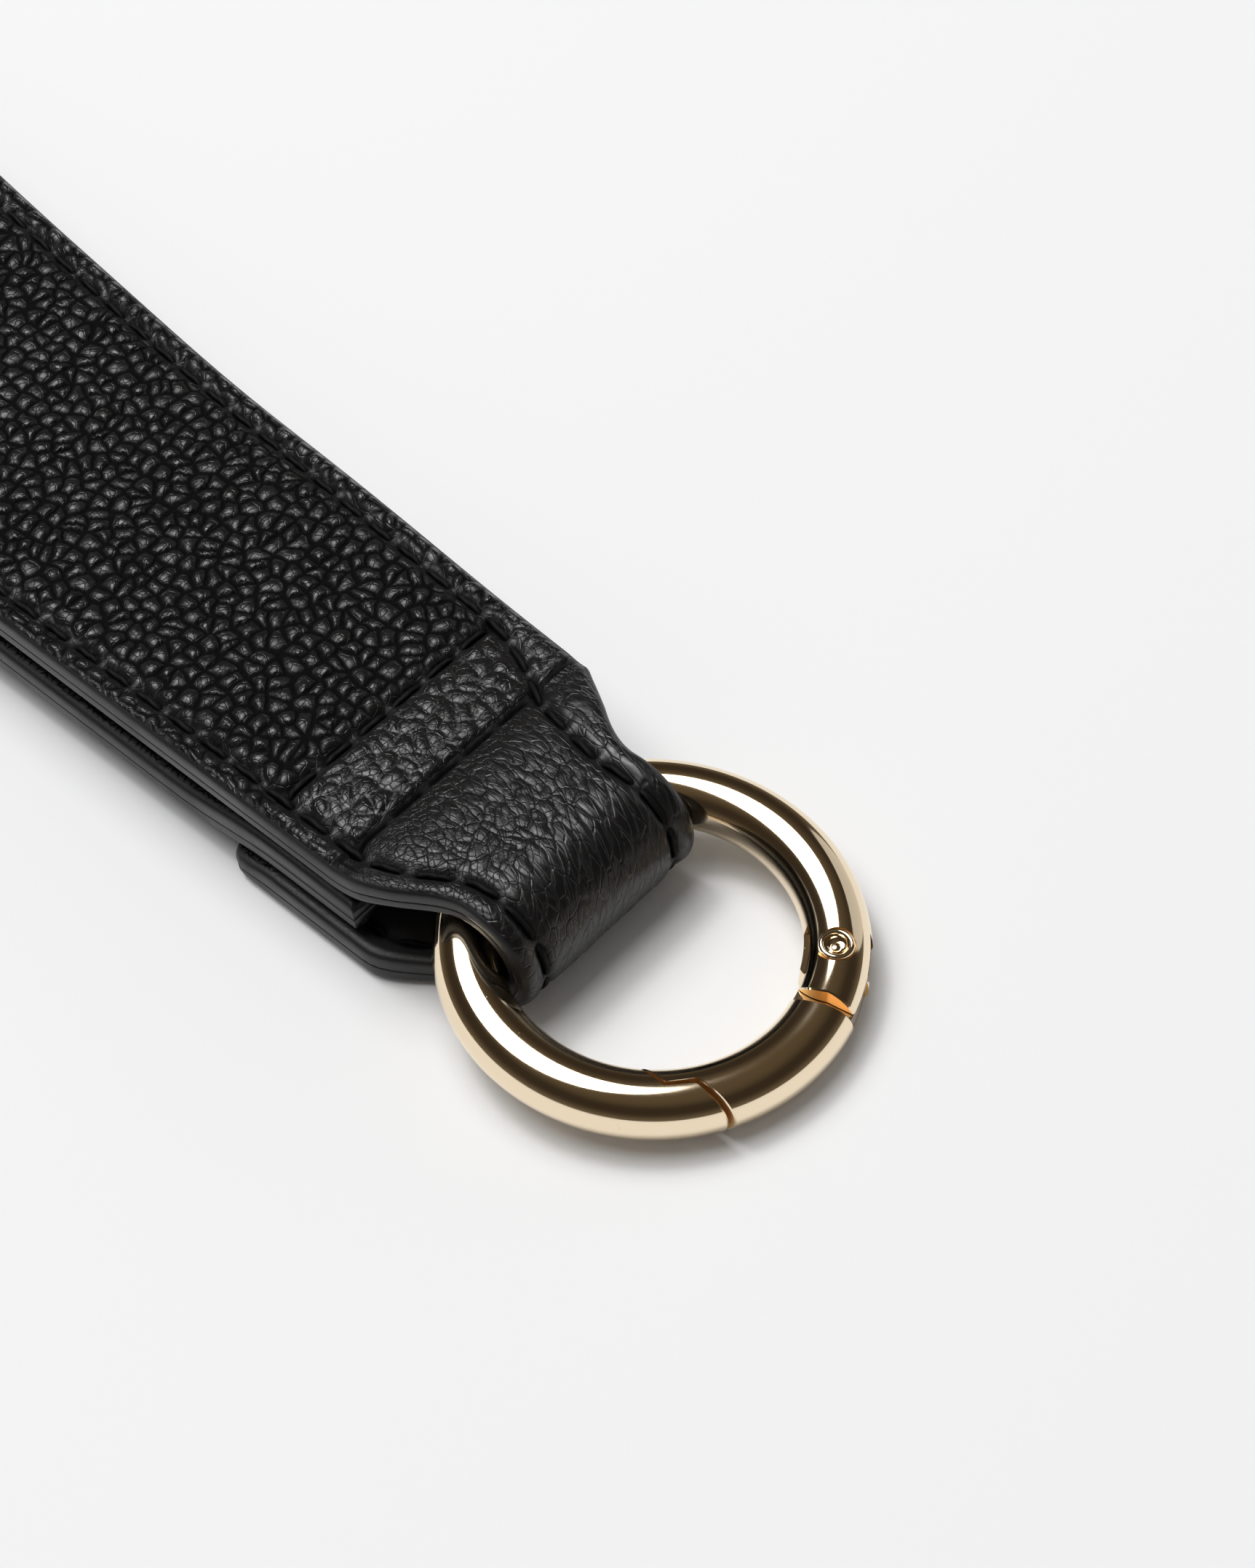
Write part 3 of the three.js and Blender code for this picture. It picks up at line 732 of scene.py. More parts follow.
@dataclass
class StrapPath:
    """The strap's path and edges, in millimetres from the ring's centre, +X towards the ring.

    A length whose name ends in back is measured from the wire's back side along the strap. The end
    share and the end pare thin the tab's tip, and the shoulder values shape the narrowing by the ring.
    """

    ring: Ring
    ply: float = 1.45
    ply_at_fold: float = 1.2
    ply_at_tab_end: float = 1.02
    glue: float = 0.15
    layer_gap: float = 0.25
    half_width: float = 12.6
    flare: float = 0.047
    flare_length: float = 78.0
    skew: float = 0.089
    offset: float = 1.0
    fold_near: float = 8.9
    fold_far: float = 8.5
    tab_overhang: float = 0.5
    box_back: float = 6.59
    box_half: float = 3.85
    row_drift_back: float = 11.09
    row_meet: float = 0.94
    middle_end_back: float = 1.89
    tab_end_back: float = 15.69
    tab_corner: float = 1.8
    shoulder_start_back: float = 1.09
    shoulder_end: float = 0.34
    wrap_start_back: float = 4.09
    wrap_top_back: float = -1.91
    drop_back: float = 9.09
    hang_from_back: float = 22.09
    hang_to_back: float = 43.09
    landing_back: float = 85.09
    rise_back: float = 40.09
    rise_pull_back: float = 73.09
    bend_pull_back: float = 103.09
    bend_back: float = 123.09
    hang: float = 2.1
    bend_reach: float = 9.0
    bend_top: float = 14.5
    seam_inset: float = 2.1
    fold_clear: float = 0.1
    front_press: float = 0.195
    end_share: float = 0.3
    end_pare: float = 1.25
    tab_pull: float = 0.3
    shoulder_turn: float = 1.7
    shoulder_share: float = 0.35
    finest_from: float = -102.0
    rim_rows: tuple[float, ...] = (0.04, 0.14, 0.3, 0.5)
    rim_reach: float = 0.6
    samples: dict[str, np.ndarray] = field(init=False)
    box_x: float = field(init=False)
    shoulder: tuple[float, float] = field(init=False)
    row_drift: tuple[float, float] = field(init=False)
    wrap: tuple[float, float] = field(init=False)

    def __post_init__(self) -> None:
        """Samples the whole path finely, from the square-cut end to the end of the tab."""
        run, fold, end = (2 * p + self.glue for p in (self.ply, self.ply_at_fold, self.ply_at_tab_end))
        ring = self.ring
        tube, mean, rise = ring.tube, ring.mean, ring.mean * math.sin(ring.tilt)
        fold_top = 2 * tube + 2 * rise + self.fold_clear
        middle, top = 2 * run + self.layer_gap, 2 * run + 2 * self.layer_gap
        radius = (fold_top - fold) / 2
        front = -math.sqrt((mean - tube) ** 2 - self.fold_near ** 2) * math.cos(ring.tilt) - self.front_press
        wire_back = -mean * math.cos(ring.tilt) - tube
        fold_x, hang = front - radius, run + self.hang
        bend, bend_x = (self.bend_top - run) / 2, wire_back - self.bend_back
        self.box_x = wire_back - self.box_back
        self.shoulder = (wire_back - self.shoulder_start_back, fold_x - self.shoulder_end)
        self.row_drift = (wire_back - self.row_drift_back, fold_x - self.row_meet)
        self.wrap = (wire_back - self.wrap_start_back, wire_back - self.wrap_top_back)
        tab_end, pare = wire_back - self.tab_end_back, end + self.end_share * (run - end)
        tip = tab_end + self.end_pare
        low, up, tab = Layer.LOWER.value, Layer.UPPER.value, Layer.TAB.value

        def back(distance: float, z: float) -> tuple[float, float]:
            """Point at a distance behind the wire."""
            return wire_back - distance, z

        drop, landing = back(self.drop_back, middle), back(self.landing_back, run)
        hang_from, hang_to = back(self.hang_from_back, hang), back(self.hang_to_back, hang)
        rising = back(self.rise_back, top)
        pieces = [
            (self._line(back(self.middle_end_back, middle), drop), low, True),
            (self._ease(drop, hang_from), low, False),
            (self._line(hang_from, hang_to), low, False),
            (self._ease(hang_to, landing), low, False),
            (self._line(landing, (bend_x, run)), low, False),
            (self._arc((bend_x, run + bend), self.bend_reach, bend, -90, -270), low, False),
            (self._bezier((bend_x, self.bend_top), back(self.bend_pull_back, self.bend_top),
                          back(self.rise_pull_back, top), rising), up, False),
            (self._line(rising, (self.wrap[0], top)), up, False),
            (self._ease((self.wrap[0], top), (self.wrap[1], fold_top)), up, False),
            (self._line((self.wrap[1], fold_top), (fold_x, fold_top)), up, False),
            (self._arc((fold_x, (fold_top + fold) / 2), radius, radius, 90, -90), up, False),
            (self._ease((fold_x, fold), (self.shoulder[0], run), self.tab_pull), tab, True),
            (self._line((self.shoulder[0], run), (self.row_drift[0], run)), tab, True),
            (self._line((self.row_drift[0], run), (tip, pare)), tab, True),
            (self._line((tip, pare), (tab_end, end)), tab, True),
        ]
        self.samples = self._joined(pieces)

    @staticmethod
    def _joined(pieces: list[tuple[np.ndarray, int, bool]]) -> dict[str, np.ndarray]:
        """Joins the stretches of the path into one.

        Args:
            pieces: points of each stretch, its layer, and whether its thickness stands upright.

        Returns:
            Arrays by name: place, way out, layer and length so far.
        """
        columns: dict[str, list[np.ndarray]] = {key: [] for key in ("x", "z", "nx", "nz", "layer")}
        for points, layer, upright in pieces:
            step = np.gradient(points, axis=0)
            step /= np.linalg.norm(step, axis=1)[:, None]
            out = np.stack([-step[:, 1], step[:, 0]], 1)
            if upright:
                out = np.stack([np.zeros(len(points)), np.sign(step[:, 0])], 1)
            keep = slice(0 if not columns["x"] else 1, None)
            for key, values in (("x", points[:, 0]), ("z", points[:, 1]), ("nx", out[:, 0]),
                                ("nz", out[:, 1]), ("layer", np.full(len(points), layer))):
                columns[key].append(values[keep])
        joined = {key: np.concatenate(values) for key, values in columns.items()}
        steps = np.hypot(np.diff(joined["x"]), np.diff(joined["z"]))
        return {**joined, "s": np.concatenate([[0.0], np.cumsum(steps)])}

    @staticmethod
    def _line(a: tuple[float, float], b: tuple[float, float]) -> np.ndarray:
        """Points along a straight stretch."""
        t = np.linspace(0, 1, 120)[:, None]
        return np.array(a) * (1 - t) + np.array(b) * t

    @staticmethod
    def _bezier(*control: tuple[float, float]) -> np.ndarray:
        """Points along a cubic curve with four control points."""
        t = np.linspace(0, 1, 240)[:, None]
        a, b, c, d = (np.array(p, float) for p in control)
        return a * (1 - t) ** 3 + 3 * b * t * (1 - t) ** 2 + 3 * c * t ** 2 * (1 - t) + d * t ** 3

    def _ease(self, a: tuple[float, float], b: tuple[float, float], pull: float = 0.45) -> np.ndarray:
        """Points from a to b, level at both ends."""
        reach = pull * (b[0] - a[0])
        return self._bezier(a, (a[0] + reach, a[1]), (b[0] - reach, b[1]), b)

    @staticmethod
    def _arc(centre: tuple[float, float], rx: float, rz: float, start: float, end: float) -> np.ndarray:
        """Points along an elliptical arc, in degrees."""
        return np.array(centre) + np.array([rx, rz]) * arc(start, end, 240)

    def at(self, s: np.ndarray) -> dict[str, np.ndarray]:
        """Everything about the strap at the given lengths along the path.

        Args:
            s: lengths from the square-cut end, in millimetres.

        Returns:
            Arrays by name: place, way out, ply thickness, edges and edge rows.
        """
        found = {key: np.interp(s, self.samples["s"], self.samples[key]) for key in ("x", "z", "nx", "nz")}
        length = np.hypot(found["nx"], found["nz"])
        found["nx"], found["nz"] = found["nx"] / length, found["nz"] / length
        layer = np.round(np.interp(s, self.samples["s"], self.samples["layer"]))
        x = found["x"]
        on_tab, below = layer == Layer.TAB.value, layer == Layer.LOWER.value
        thin = smoothstep(x, *self.wrap)
        found["ply"] = np.where(on_tab, (found["z"] - self.glue) / 2,
                                np.where(below, self.ply, self.ply + (self.ply_at_fold - self.ply) * thin))
        back = self.box_x - x
        centre = self.offset + self.skew * back
        half = self.half_width + self.flare * np.minimum(back, self.flare_length)
        narrow = np.where(below, 0.0, smoothstep(x, *self.shoulder))
        near = centre - half - np.where(on_tab, self.tab_overhang, 0.0)
        sharp = np.clip((x - self.shoulder[0]) / (self.shoulder[1] - self.shoulder[0]), 0.0, 1.0)
        sharp = np.where(below, 0.0, 1 - (1 - sharp) ** self.shoulder_turn)
        far_narrow = self.shoulder_share * narrow + (1 - self.shoulder_share) * sharp
        found["near"] = near * (1 - narrow) - self.fold_near * narrow
        found["far"] = (centre + half) * (1 - far_narrow) + self.fold_far * far_narrow
        drift = np.where(below, 0.0, smoothstep(x, *self.row_drift))
        held = self.box_x - np.minimum(x, self.shoulder[0])
        straight = (self.offset + self.skew * held + self.half_width
                    + self.flare * np.minimum(held, self.flare_length))
        far_row = np.minimum(found["far"], straight * (1 - drift) + self.fold_far * drift)
        found["near_row"], found["far_row"] = found["near"] + self.seam_inset, far_row - self.seam_inset
        found["s"], found["layer"] = np.asarray(s, float), layer
        return found

    @property
    def length(self) -> float:
        """Length of the leather along its lining face."""
        return float(self.samples["s"][-1])

    def to_row(self, points: np.ndarray) -> np.ndarray:
        """Moves points from the ring's plan centre into the row frame, in millimetres."""
        return np.asarray(points, float) + np.array([self.ring.centre.x, self.ring.centre.y, 0.0])

    def stations(self, fine: float, coarse: float) -> np.ndarray:
        """Lengths at which the leather is cut into rows, finest on the upper run.

        Args:
            fine: step on the upper run and the fold.
            coarse: step elsewhere.

        Returns:
            The lengths, closer together at the two ends.
        """
        grid = np.linspace(0, self.length, 4000)
        at = self.at(grid)
        upper = (at["layer"] == Layer.UPPER.value) & (at["x"] > self.finest_from)
        weight = np.where(upper, 1 / fine, 1 / coarse)
        weight = np.convolve(np.pad(weight, 30, mode="edge"), np.ones(61) / 61, mode="valid")
        count = np.concatenate([[0], np.cumsum((weight[1:] + weight[:-1]) / 2 * np.diff(grid))])
        rows = np.interp(np.linspace(0, count[-1], int(count[-1]) + 1), count, grid)
        rim = np.array(self.rim_rows)
        rows = rows[(rows > self.rim_reach) & (rows < self.length - self.rim_reach)]
        return np.concatenate([[0.0], rim, rows, self.length - rim[::-1], [self.length]])


@dataclass
class Sewing:
    """Pitch and place of every row of stitches, in millimetres.

    Each row lies in a groove that bridges of leather cross between the stitches, and the face
    sags a little beside it.
    """

    path: StrapPath
    pitch: float = 3.55
    groove: float = 0.55
    groove_width: float = 0.50
    hole: float = 0.42
    bridge: float = 0.62
    thread: float = 0.44
    bedded: float = 0.30
    ends: float = 1.2
    cross_inset: float = 0.3
    pull: float = 0.14
    pull_width: float = 1.6
    sewn_width: float = 0.85
    step: float = 0.25

    @property
    def lie(self) -> float:
        """How far under the face the middle of the thread lies."""
        return self.groove - self.bedded * self.thread

    def row(self, side: Side, face: Face) -> tuple[np.ndarray, np.ndarray, np.ndarray]:
        """Route of an edge row.

        Args:
            side: the edge it follows.
            face: the face it lies on.

        Returns:
            Points of the row in the row frame, the way out at each, and the lengths along the path.
        """
        s = np.arange(self.ends, self.path.length - self.ends, self.step)
        at = self.path.at(s)
        y = at["near_row"] if side is Side.NEAR else at["far_row"]
        height = 2 * at["ply"] + self.path.glue if face is Face.OUTER else np.zeros(len(s))
        height = height - face.value * self.lie
        points = np.stack([at["x"] + at["nx"] * height, y, at["z"] + at["nz"] * height], 1)
        out = face.value * np.stack([at["nx"], np.zeros(len(s)), at["nz"]], 1)
        return self.path.to_row(points), out, s

    def phase(self, side: Side, face: Face, s: np.ndarray) -> np.ndarray:
        """Place within a stitch, 0 at its holes, for lengths along the path."""
        points, _, known = self.row(side, face)
        run = np.concatenate([[0.0], np.cumsum(np.linalg.norm(np.diff(points, axis=0), axis=1))])
        return np.interp(s, known, run / run[-1] * self.count(points)) % 1.0

    def count(self, points: np.ndarray) -> int:
        """Number of stitches on a route."""
        return int(round(np.linalg.norm(np.diff(points, axis=0), axis=1).sum() / self.pitch))

    def cross_lines(self) -> list[tuple[str, float]]:
        """Name and place along the strap of the box's cross rows."""
        middle, half = self.path.box_x, self.path.box_half
        return [("front", middle + half), ("rear", middle - half)]

    def cross_row(self, x: float, face_down: bool) -> tuple[np.ndarray, np.ndarray]:
        """Route of a cross row of the box.

        Args:
            x: place along the strap.
            face_down: whether it lies on the underside of the tab.

        Returns:
            Points in the row frame and the way out at each.
        """
        at = self.path.at(self.path.samples["s"])
        layer = Layer.TAB.value if face_down else Layer.UPPER.value
        pick = np.flatnonzero(at["layer"] == layer)
        best = pick[np.argmin(np.abs(at["x"][pick] - x))]
        near, far = at["near_row"][best] + self.cross_inset, at["far_row"][best] - self.cross_inset
        height = 2 * at["ply"][best] + self.path.glue - self.lie
        z = at["z"][best] + at["nz"][best] * height
        y = np.arange(near, far, self.step)
        points = np.stack([np.full(len(y), x), y, np.full(len(y), z)], 1)
        out = np.tile([0.0, 0.0, at["nz"][best]], (len(y), 1))
        return self.path.to_row(points), out


@dataclass
class Strap:
    """The leather of the wrist loop: an outer ply with the grain and a smooth lining ply.

    Lengths are in millimetres, but the least height over the ground is in metres. The pulled
    leather of the neck runs together at the pivot; the plate growth is along and round it.
    """

    path: StrapPath
    sewing: Sewing
    finishes: Finishes
    fine: float = 0.27
    coarse: float = 0.62
    across: int = 88
    lining_fine: float = 0.7
    lining_coarse: float = 0.8
    lining_across: int = 36
    edge_round: float = 0.72
    edge_drop: float = 0.72
    edge_sag: float = 0.16
    edge_sag_width: float = 1.1
    rim_columns: tuple[float, ...] = (0.0, 0.05, 0.14, 0.28, 0.46, 0.68)
    rim_width: float = 0.92
    painted_columns: int = 3
    least_thickness: float = 0.2
    seam_line: float = 0.03
    ground: float = 2e-5
    floor_clear: float = 0.06
    face_clear: float = 0.05
    pebble_height: float = 1.0
    undulation: float = 0.10
    grain_rim: tuple[float, float] = (0.25, 0.8)
    grain_sunk: tuple[float, float] = (0.9, 0.3)
    grain_sewn: float = 0.6
    row_blend: float = 0.5
    front_fade: tuple[float, float] = (-9.0, -4.0)
    pivot: tuple[float, float] = (-15.5, -11.0)
    plate_growth: tuple[float, float] = (1.1, 6.2)
    plate_squeeze: tuple[float, float] = (0.9, 0.72)
    box_pebbles: float = 0.52
    neck_pebbles: float = 0.80
    box_plates: float = 0.45
    front_plates: float = 0.72

    def build(self) -> list[bpy.types.Object]:
        """Builds both plies and dresses them.

        Returns:
            The two pieces.
        """
        outer = self._ply(Face.OUTER, self.path.stations(self.fine, self.coarse), self.across)
        outer = with_nodes(outer, relief_tree(), {"Pebble": Leather.pebble, "Plate": Leather.plate,
                                                  "Height": self.pebble_height, "Ground": self.ground})
        rows = self.path.stations(self.lining_fine, self.lining_coarse)
        lining = self._ply(Face.LINING, rows, self.lining_across)
        for piece, node, slot in ((outer, "strap_outer_leather", "pebbled_leather"),
                                  (lining, "strap_lining_leather", "lining_leather")):
            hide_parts(node)
            bend_with_neck(piece)
        return [outer, lining]

    def _sculpt(self, at: dict[str, np.ndarray], y: np.ndarray, face: Face
                ) -> tuple[np.ndarray, np.ndarray, np.ndarray]:
        """Sinks the seams into a face and rounds its rim.

        Args:
            at: the stations.
            y: sideways place of each point, stations by columns.
            face: the face that is sculpted.

        Returns:
            How far each point sinks, and from 0 to 1 how sewn-down it is and how deep in a seam.
        """
        s = at["s"][:, None]
        rim = np.minimum(np.minimum(y - at["near"][:, None], at["far"][:, None] - y),
                         np.minimum(s, self.path.length - s))
        reach = np.clip(rim / self.edge_round, 0, 1)
        sink = self.edge_round * self.edge_drop * (1 - np.sqrt(1 - (1 - reach) ** 2))
        sink = sink + self.edge_sag * np.exp(-rim / self.edge_sag_width)
        sewn, seam = np.zeros_like(y), np.zeros_like(y)
        for side, key in ((Side.NEAR, "near_row"), (Side.FAR, "far_row")):
            offset = y - at[key][:, None]
            phase = self.sewing.phase(side, face, at["s"])[:, None]
            hole = np.minimum(phase, 1 - phase) * self.sewing.pitch
            sink, sewn, seam = self._groove(sink, sewn, seam, offset, hole)
        if face is Face.OUTER:
            clear, far_off = self.sewing.cross_inset, 9.0
            for _, x in self.sewing.cross_lines():
                inside = (y > at["near_row"][:, None] - clear) & (y < at["far_row"][:, None] + clear)
                offset = np.where(inside & (at["layer"] != Layer.LOWER.value)[:, None],
                                  at["x"][:, None] - x, far_off)
                hole = np.abs(((y - at["near_row"][:, None]) / self.sewing.pitch + 0.5) % 1.0 - 0.5)
                sink, sewn, seam = self._groove(sink, sewn, seam, offset, hole * self.sewing.pitch)
        return sink, sewn, seam

    def _groove(self, sink: np.ndarray, sewn: np.ndarray, seam: np.ndarray, offset: np.ndarray,
                hole: np.ndarray) -> tuple[np.ndarray, np.ndarray, np.ndarray]:
        """Adds one row's groove, with the bridges of leather between its stitches.

        Args:
            sink: how far each point sinks so far.
            sewn: how sewn-down each point is so far.
            seam: how deep in a seam each point is so far.
            offset: distance of each point from the row.
            hole: distance along the row from the nearest hole.

        Returns:
            The three arrays with the row added.
        """
        sewing = self.sewing
        bridge = np.exp(-(hole / sewing.hole) ** 2)
        trough = np.exp(-(offset / sewing.groove_width) ** 2) * (1 - sewing.bridge * bridge)
        pull = np.exp(-(offset / sewing.pull_width) ** 2)
        sink = sink + sewing.groove * trough + sewing.pull * pull
        near_row = np.exp(-(offset / sewing.sewn_width) ** 2)
        return sink, np.maximum(sewn, near_row), np.maximum(seam, trough)

    def _ply(self, face: Face, s: np.ndarray, across: int) -> bpy.types.Object:
        """Sweeps one ply.

        Args:
            face: the face that shows.
            s: lengths of the stations.
            across: columns on the show face.

        Returns:
            The mesh object with its grain attributes.
        """
        path, at = self.path, self.path.at(s)
        glue_side = at["ply"] + path.glue / 2 + face.value * self.seam_line
        show = 2 * at["ply"] + path.glue if face is Face.OUTER else np.zeros(len(s))
        left = s - (path.length - path.tab_corner)
        corner = np.where(left > 0, path.tab_corner - np.sqrt(
            np.maximum(path.tab_corner ** 2 - np.maximum(left, 0) ** 2, 0)), 0.0)
        near, far = at["near"] + corner, at["far"] - corner
        at = dict(at, near=near, far=far)
        rims, inset = np.array(self.rim_columns), self.rim_width
        inner = np.linspace(0, 1, across - 2 * len(rims))
        wide = (far - near)[:, None]
        y = np.concatenate([near[:, None] + rims, near[:, None] + inset + inner * (wide - 2 * inset),
                            far[:, None] - rims[::-1]], 1)
        sink, sewn, seam = self._sculpt(at, y, face)
        thickness = np.abs(show - glue_side)[:, None]
        sink = np.minimum(sink, thickness - self.least_thickness)
        wave = self._undulate(s[:, None], y) * (1 - sewn) * smoothstep(sink.max() - sink, 0, 0.4)
        floor_side = (at["layer"] == Layer.TAB.value)[:, None]
        sink = sink + np.where(floor_side, self.floor_clear, wave + self.face_clear)
        top = show[:, None] - face.value * sink
        under = glue_side[:, None]
        walls, backs = np.linspace(0, 1, 4)[1:-1], np.linspace(0, 1, 8)
        wall_far = under + (top[:, -1:] - under) * walls
        wall_near = under + (top[:, :1] - under) * walls[::-1]
        height = np.concatenate([np.repeat(under, len(backs), 1), wall_far, top[:, ::-1], wall_near], 1)
        side = np.concatenate([near[:, None] + backs * wide, np.repeat(far[:, None], len(walls), 1),
                               y[:, ::-1], np.repeat(near[:, None], len(walls), 1)], 1)
        n, m = height.shape
        points = np.stack([at["x"][:, None] + at["nx"][:, None] * height, side,
                           at["z"][:, None] + at["nz"][:, None] * height], 2)
        first_show = len(backs) + len(walls)
        last_show = first_show + across
        painted = np.ones(m, int)
        painted[first_show + self.painted_columns:last_show - self.painted_columns - 1] = 0
        faces, slots = ribbon_faces(n, m, painted, face is Face.LINING)
        materials = [self.finishes.outer if face is Face.OUTER else self.finishes.lining, self.finishes.paint]
        name = "outer_leather" if face is Face.OUTER else "lining_leather"
        made = mesh_object(name, path.to_row(points.reshape(-1, 3)), faces, materials, slots)
        rim = np.minimum(y - near[:, None], far[:, None] - y)
        held = (smoothstep(rim, *self.grain_rim) * smoothstep(sink, *self.grain_sunk)
                * (1 - self.grain_sewn * sewn))
        weight, deep = np.zeros((n, m)), np.zeros((n, m))
        weight[:, first_show:last_show] = held[:, ::-1]
        deep[:, first_show:last_show] = seam[:, ::-1]
        self._grain(made, at, side, weight, deep)
        return made

    def _undulate(self, s: np.ndarray, y: np.ndarray) -> np.ndarray:
        """Slow swells that handling leaves in the leather, from two crossed waves."""
        return self.undulation * (np.sin(s / 5.3) * np.cos(y / 6.1)
                                  + np.sin(s / 8.9 + 1.0) * np.sin(y / 4.3 + 2.0))

    def _grain(self, made: bpy.types.Object, at: dict[str, np.ndarray], y: np.ndarray,
               weight: np.ndarray, deep: np.ndarray) -> None:
        """Stores where the grain lies and how strong it is.

        Args:
            made: the ply.
            at: the stations.
            y: sideways place of each vertex.
            weight: strength of the grain at each vertex.
            deep: how deep in a seam each vertex is.
        """
        s = np.repeat(at["s"][:, None], y.shape[1], 1)
        x = at["x"][:, None]
        upper = (at["layer"] == Layer.UPPER.value)[:, None]
        bent = np.where(at["layer"] == Layer.LOWER.value, 0.0, 1.0)[:, None]
        box, neck = (smoothstep(x, row - self.row_blend, row + self.row_blend) * bent
                     for row in sorted(place for _, place in self.sewing.cross_lines()))
        front = smoothstep(s - s[np.argmax(at["layer"] == Layer.TAB.value), 0], *self.front_fade)
        pivot_x, pivot_y = self.pivot
        on_upper = np.flatnonzero(upper[:, 0])
        pivot_s = at["s"][on_upper[np.argmin(np.abs(at["x"][on_upper] - pivot_x))]]
        du, dv = s - pivot_s, y - pivot_y
        radius, angle = np.hypot(du, dv), np.arctan2(dv, du)
        (out, round_pivot), (along, across) = self.plate_growth, self.plate_squeeze
        polar = np.stack([out * radius, round_pivot * angle, np.zeros_like(s)], 2)
        plain = np.stack([along * s, across * y, np.zeros_like(s)], 2)
        turn = (neck * upper)[..., None]
        drape = plain * (1 - turn) + polar * turn
        pebbles = weight * (1 - self.box_pebbles * box) * (1 - self.neck_pebbles * neck)
        plates = weight * np.maximum(self.box_plates * box, neck) * (1 - self.front_plates * front)
        sculpt_attribute(made, "grain", np.stack([s, y, np.zeros_like(s)], 2).reshape(-1, 3))
        sculpt_attribute(made, "drape", drape.reshape(-1, 3))
        # third part: seam depth, along which the leather's colour darkens as painted shade
        sculpt_attribute(made, "relief", np.stack([pebbles, plates, deep], 2).reshape(-1, 3))


def bend_with_neck(piece: bpy.types.Object) -> None:
    """Bakes a leather or thread piece's world placement into its mesh.

    Args:
        piece: the finished piece.
    """
    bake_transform(piece)


def ribbon_faces(n: int, m: int, columns: np.ndarray, flip: bool) -> tuple[list[list[int]], list[int]]:
    """Faces of a closed ribbon of n stations by m outline points, with both ends shut.

    Args:
        n: number of stations.
        m: points in each outline.
        columns: material slot by outline column.
        flip: whether faces are wound the other way.

    Returns:
        The faces and the material slot of each.
    """
    i, j = np.meshgrid(np.arange(n - 1), np.arange(m), indexing="ij")
    k = (j + 1) % m
    quads = np.stack([i * m + j, i * m + k, (i + 1) * m + k, (i + 1) * m + j], -1).reshape(-1, 4)
    slots = np.minimum(columns[j], 1).ravel().tolist()
    if flip:
        quads = quads[:, ::-1]
    faces = quads.tolist()
    start, end = list(range(m))[::-1], [(n - 1) * m + c for c in range(m)]
    for cap in (start, end):
        faces.append(cap[::-1] if flip else cap)
        slots.append(1)
    return faces, slots


def relief_tree() -> bpy.types.NodeTree:
    """Geometry Nodes tree that raises the grain on the outer leather."""
    graph, given, result = socketed(
        "leather_relief", "GeometryNodeTree",
        {"Geometry": "geometry", "Pebble": 1.7, "Plate": 1.7, "Height": 1.0, "Ground": 0.0},
        {"Geometry": "geometry"})
    fields = {label: graph.node("GeometryNodeInputNamedAttribute", {"Name": label},
                                data_type="FLOAT_VECTOR").outputs["Attribute"]
              for label in FIELDS}
    height, _ = Emboss().nodes(graph, fields, given.outputs["Pebble"], given.outputs["Plate"])
    lift = graph.math("MULTIPLY", graph.math("MULTIPLY", height, given.outputs["Height"]), MM)
    normal = graph.node("GeometryNodeInputNormal").outputs[0]
    moved = graph.node("GeometryNodeSetPosition", {"Geometry": given.outputs["Geometry"],
                                                   "Offset": graph.vector("SCALE", normal, lift)})
    at = graph.node("ShaderNodeSeparateXYZ", {0: graph.node("GeometryNodeInputPosition").outputs[0]}).outputs
    above = graph.math("MAXIMUM", at[2], given.outputs["Ground"])
    rest = graph.node("ShaderNodeCombineXYZ", {0: at[0], 1: at[1], 2: above})
    laid = graph.node("GeometryNodeSetPosition", {"Geometry": moved.outputs[0], "Position": rest.outputs[0]})
    graph.feed(result, {"Geometry": laid.outputs[0]})
    return graph.tree


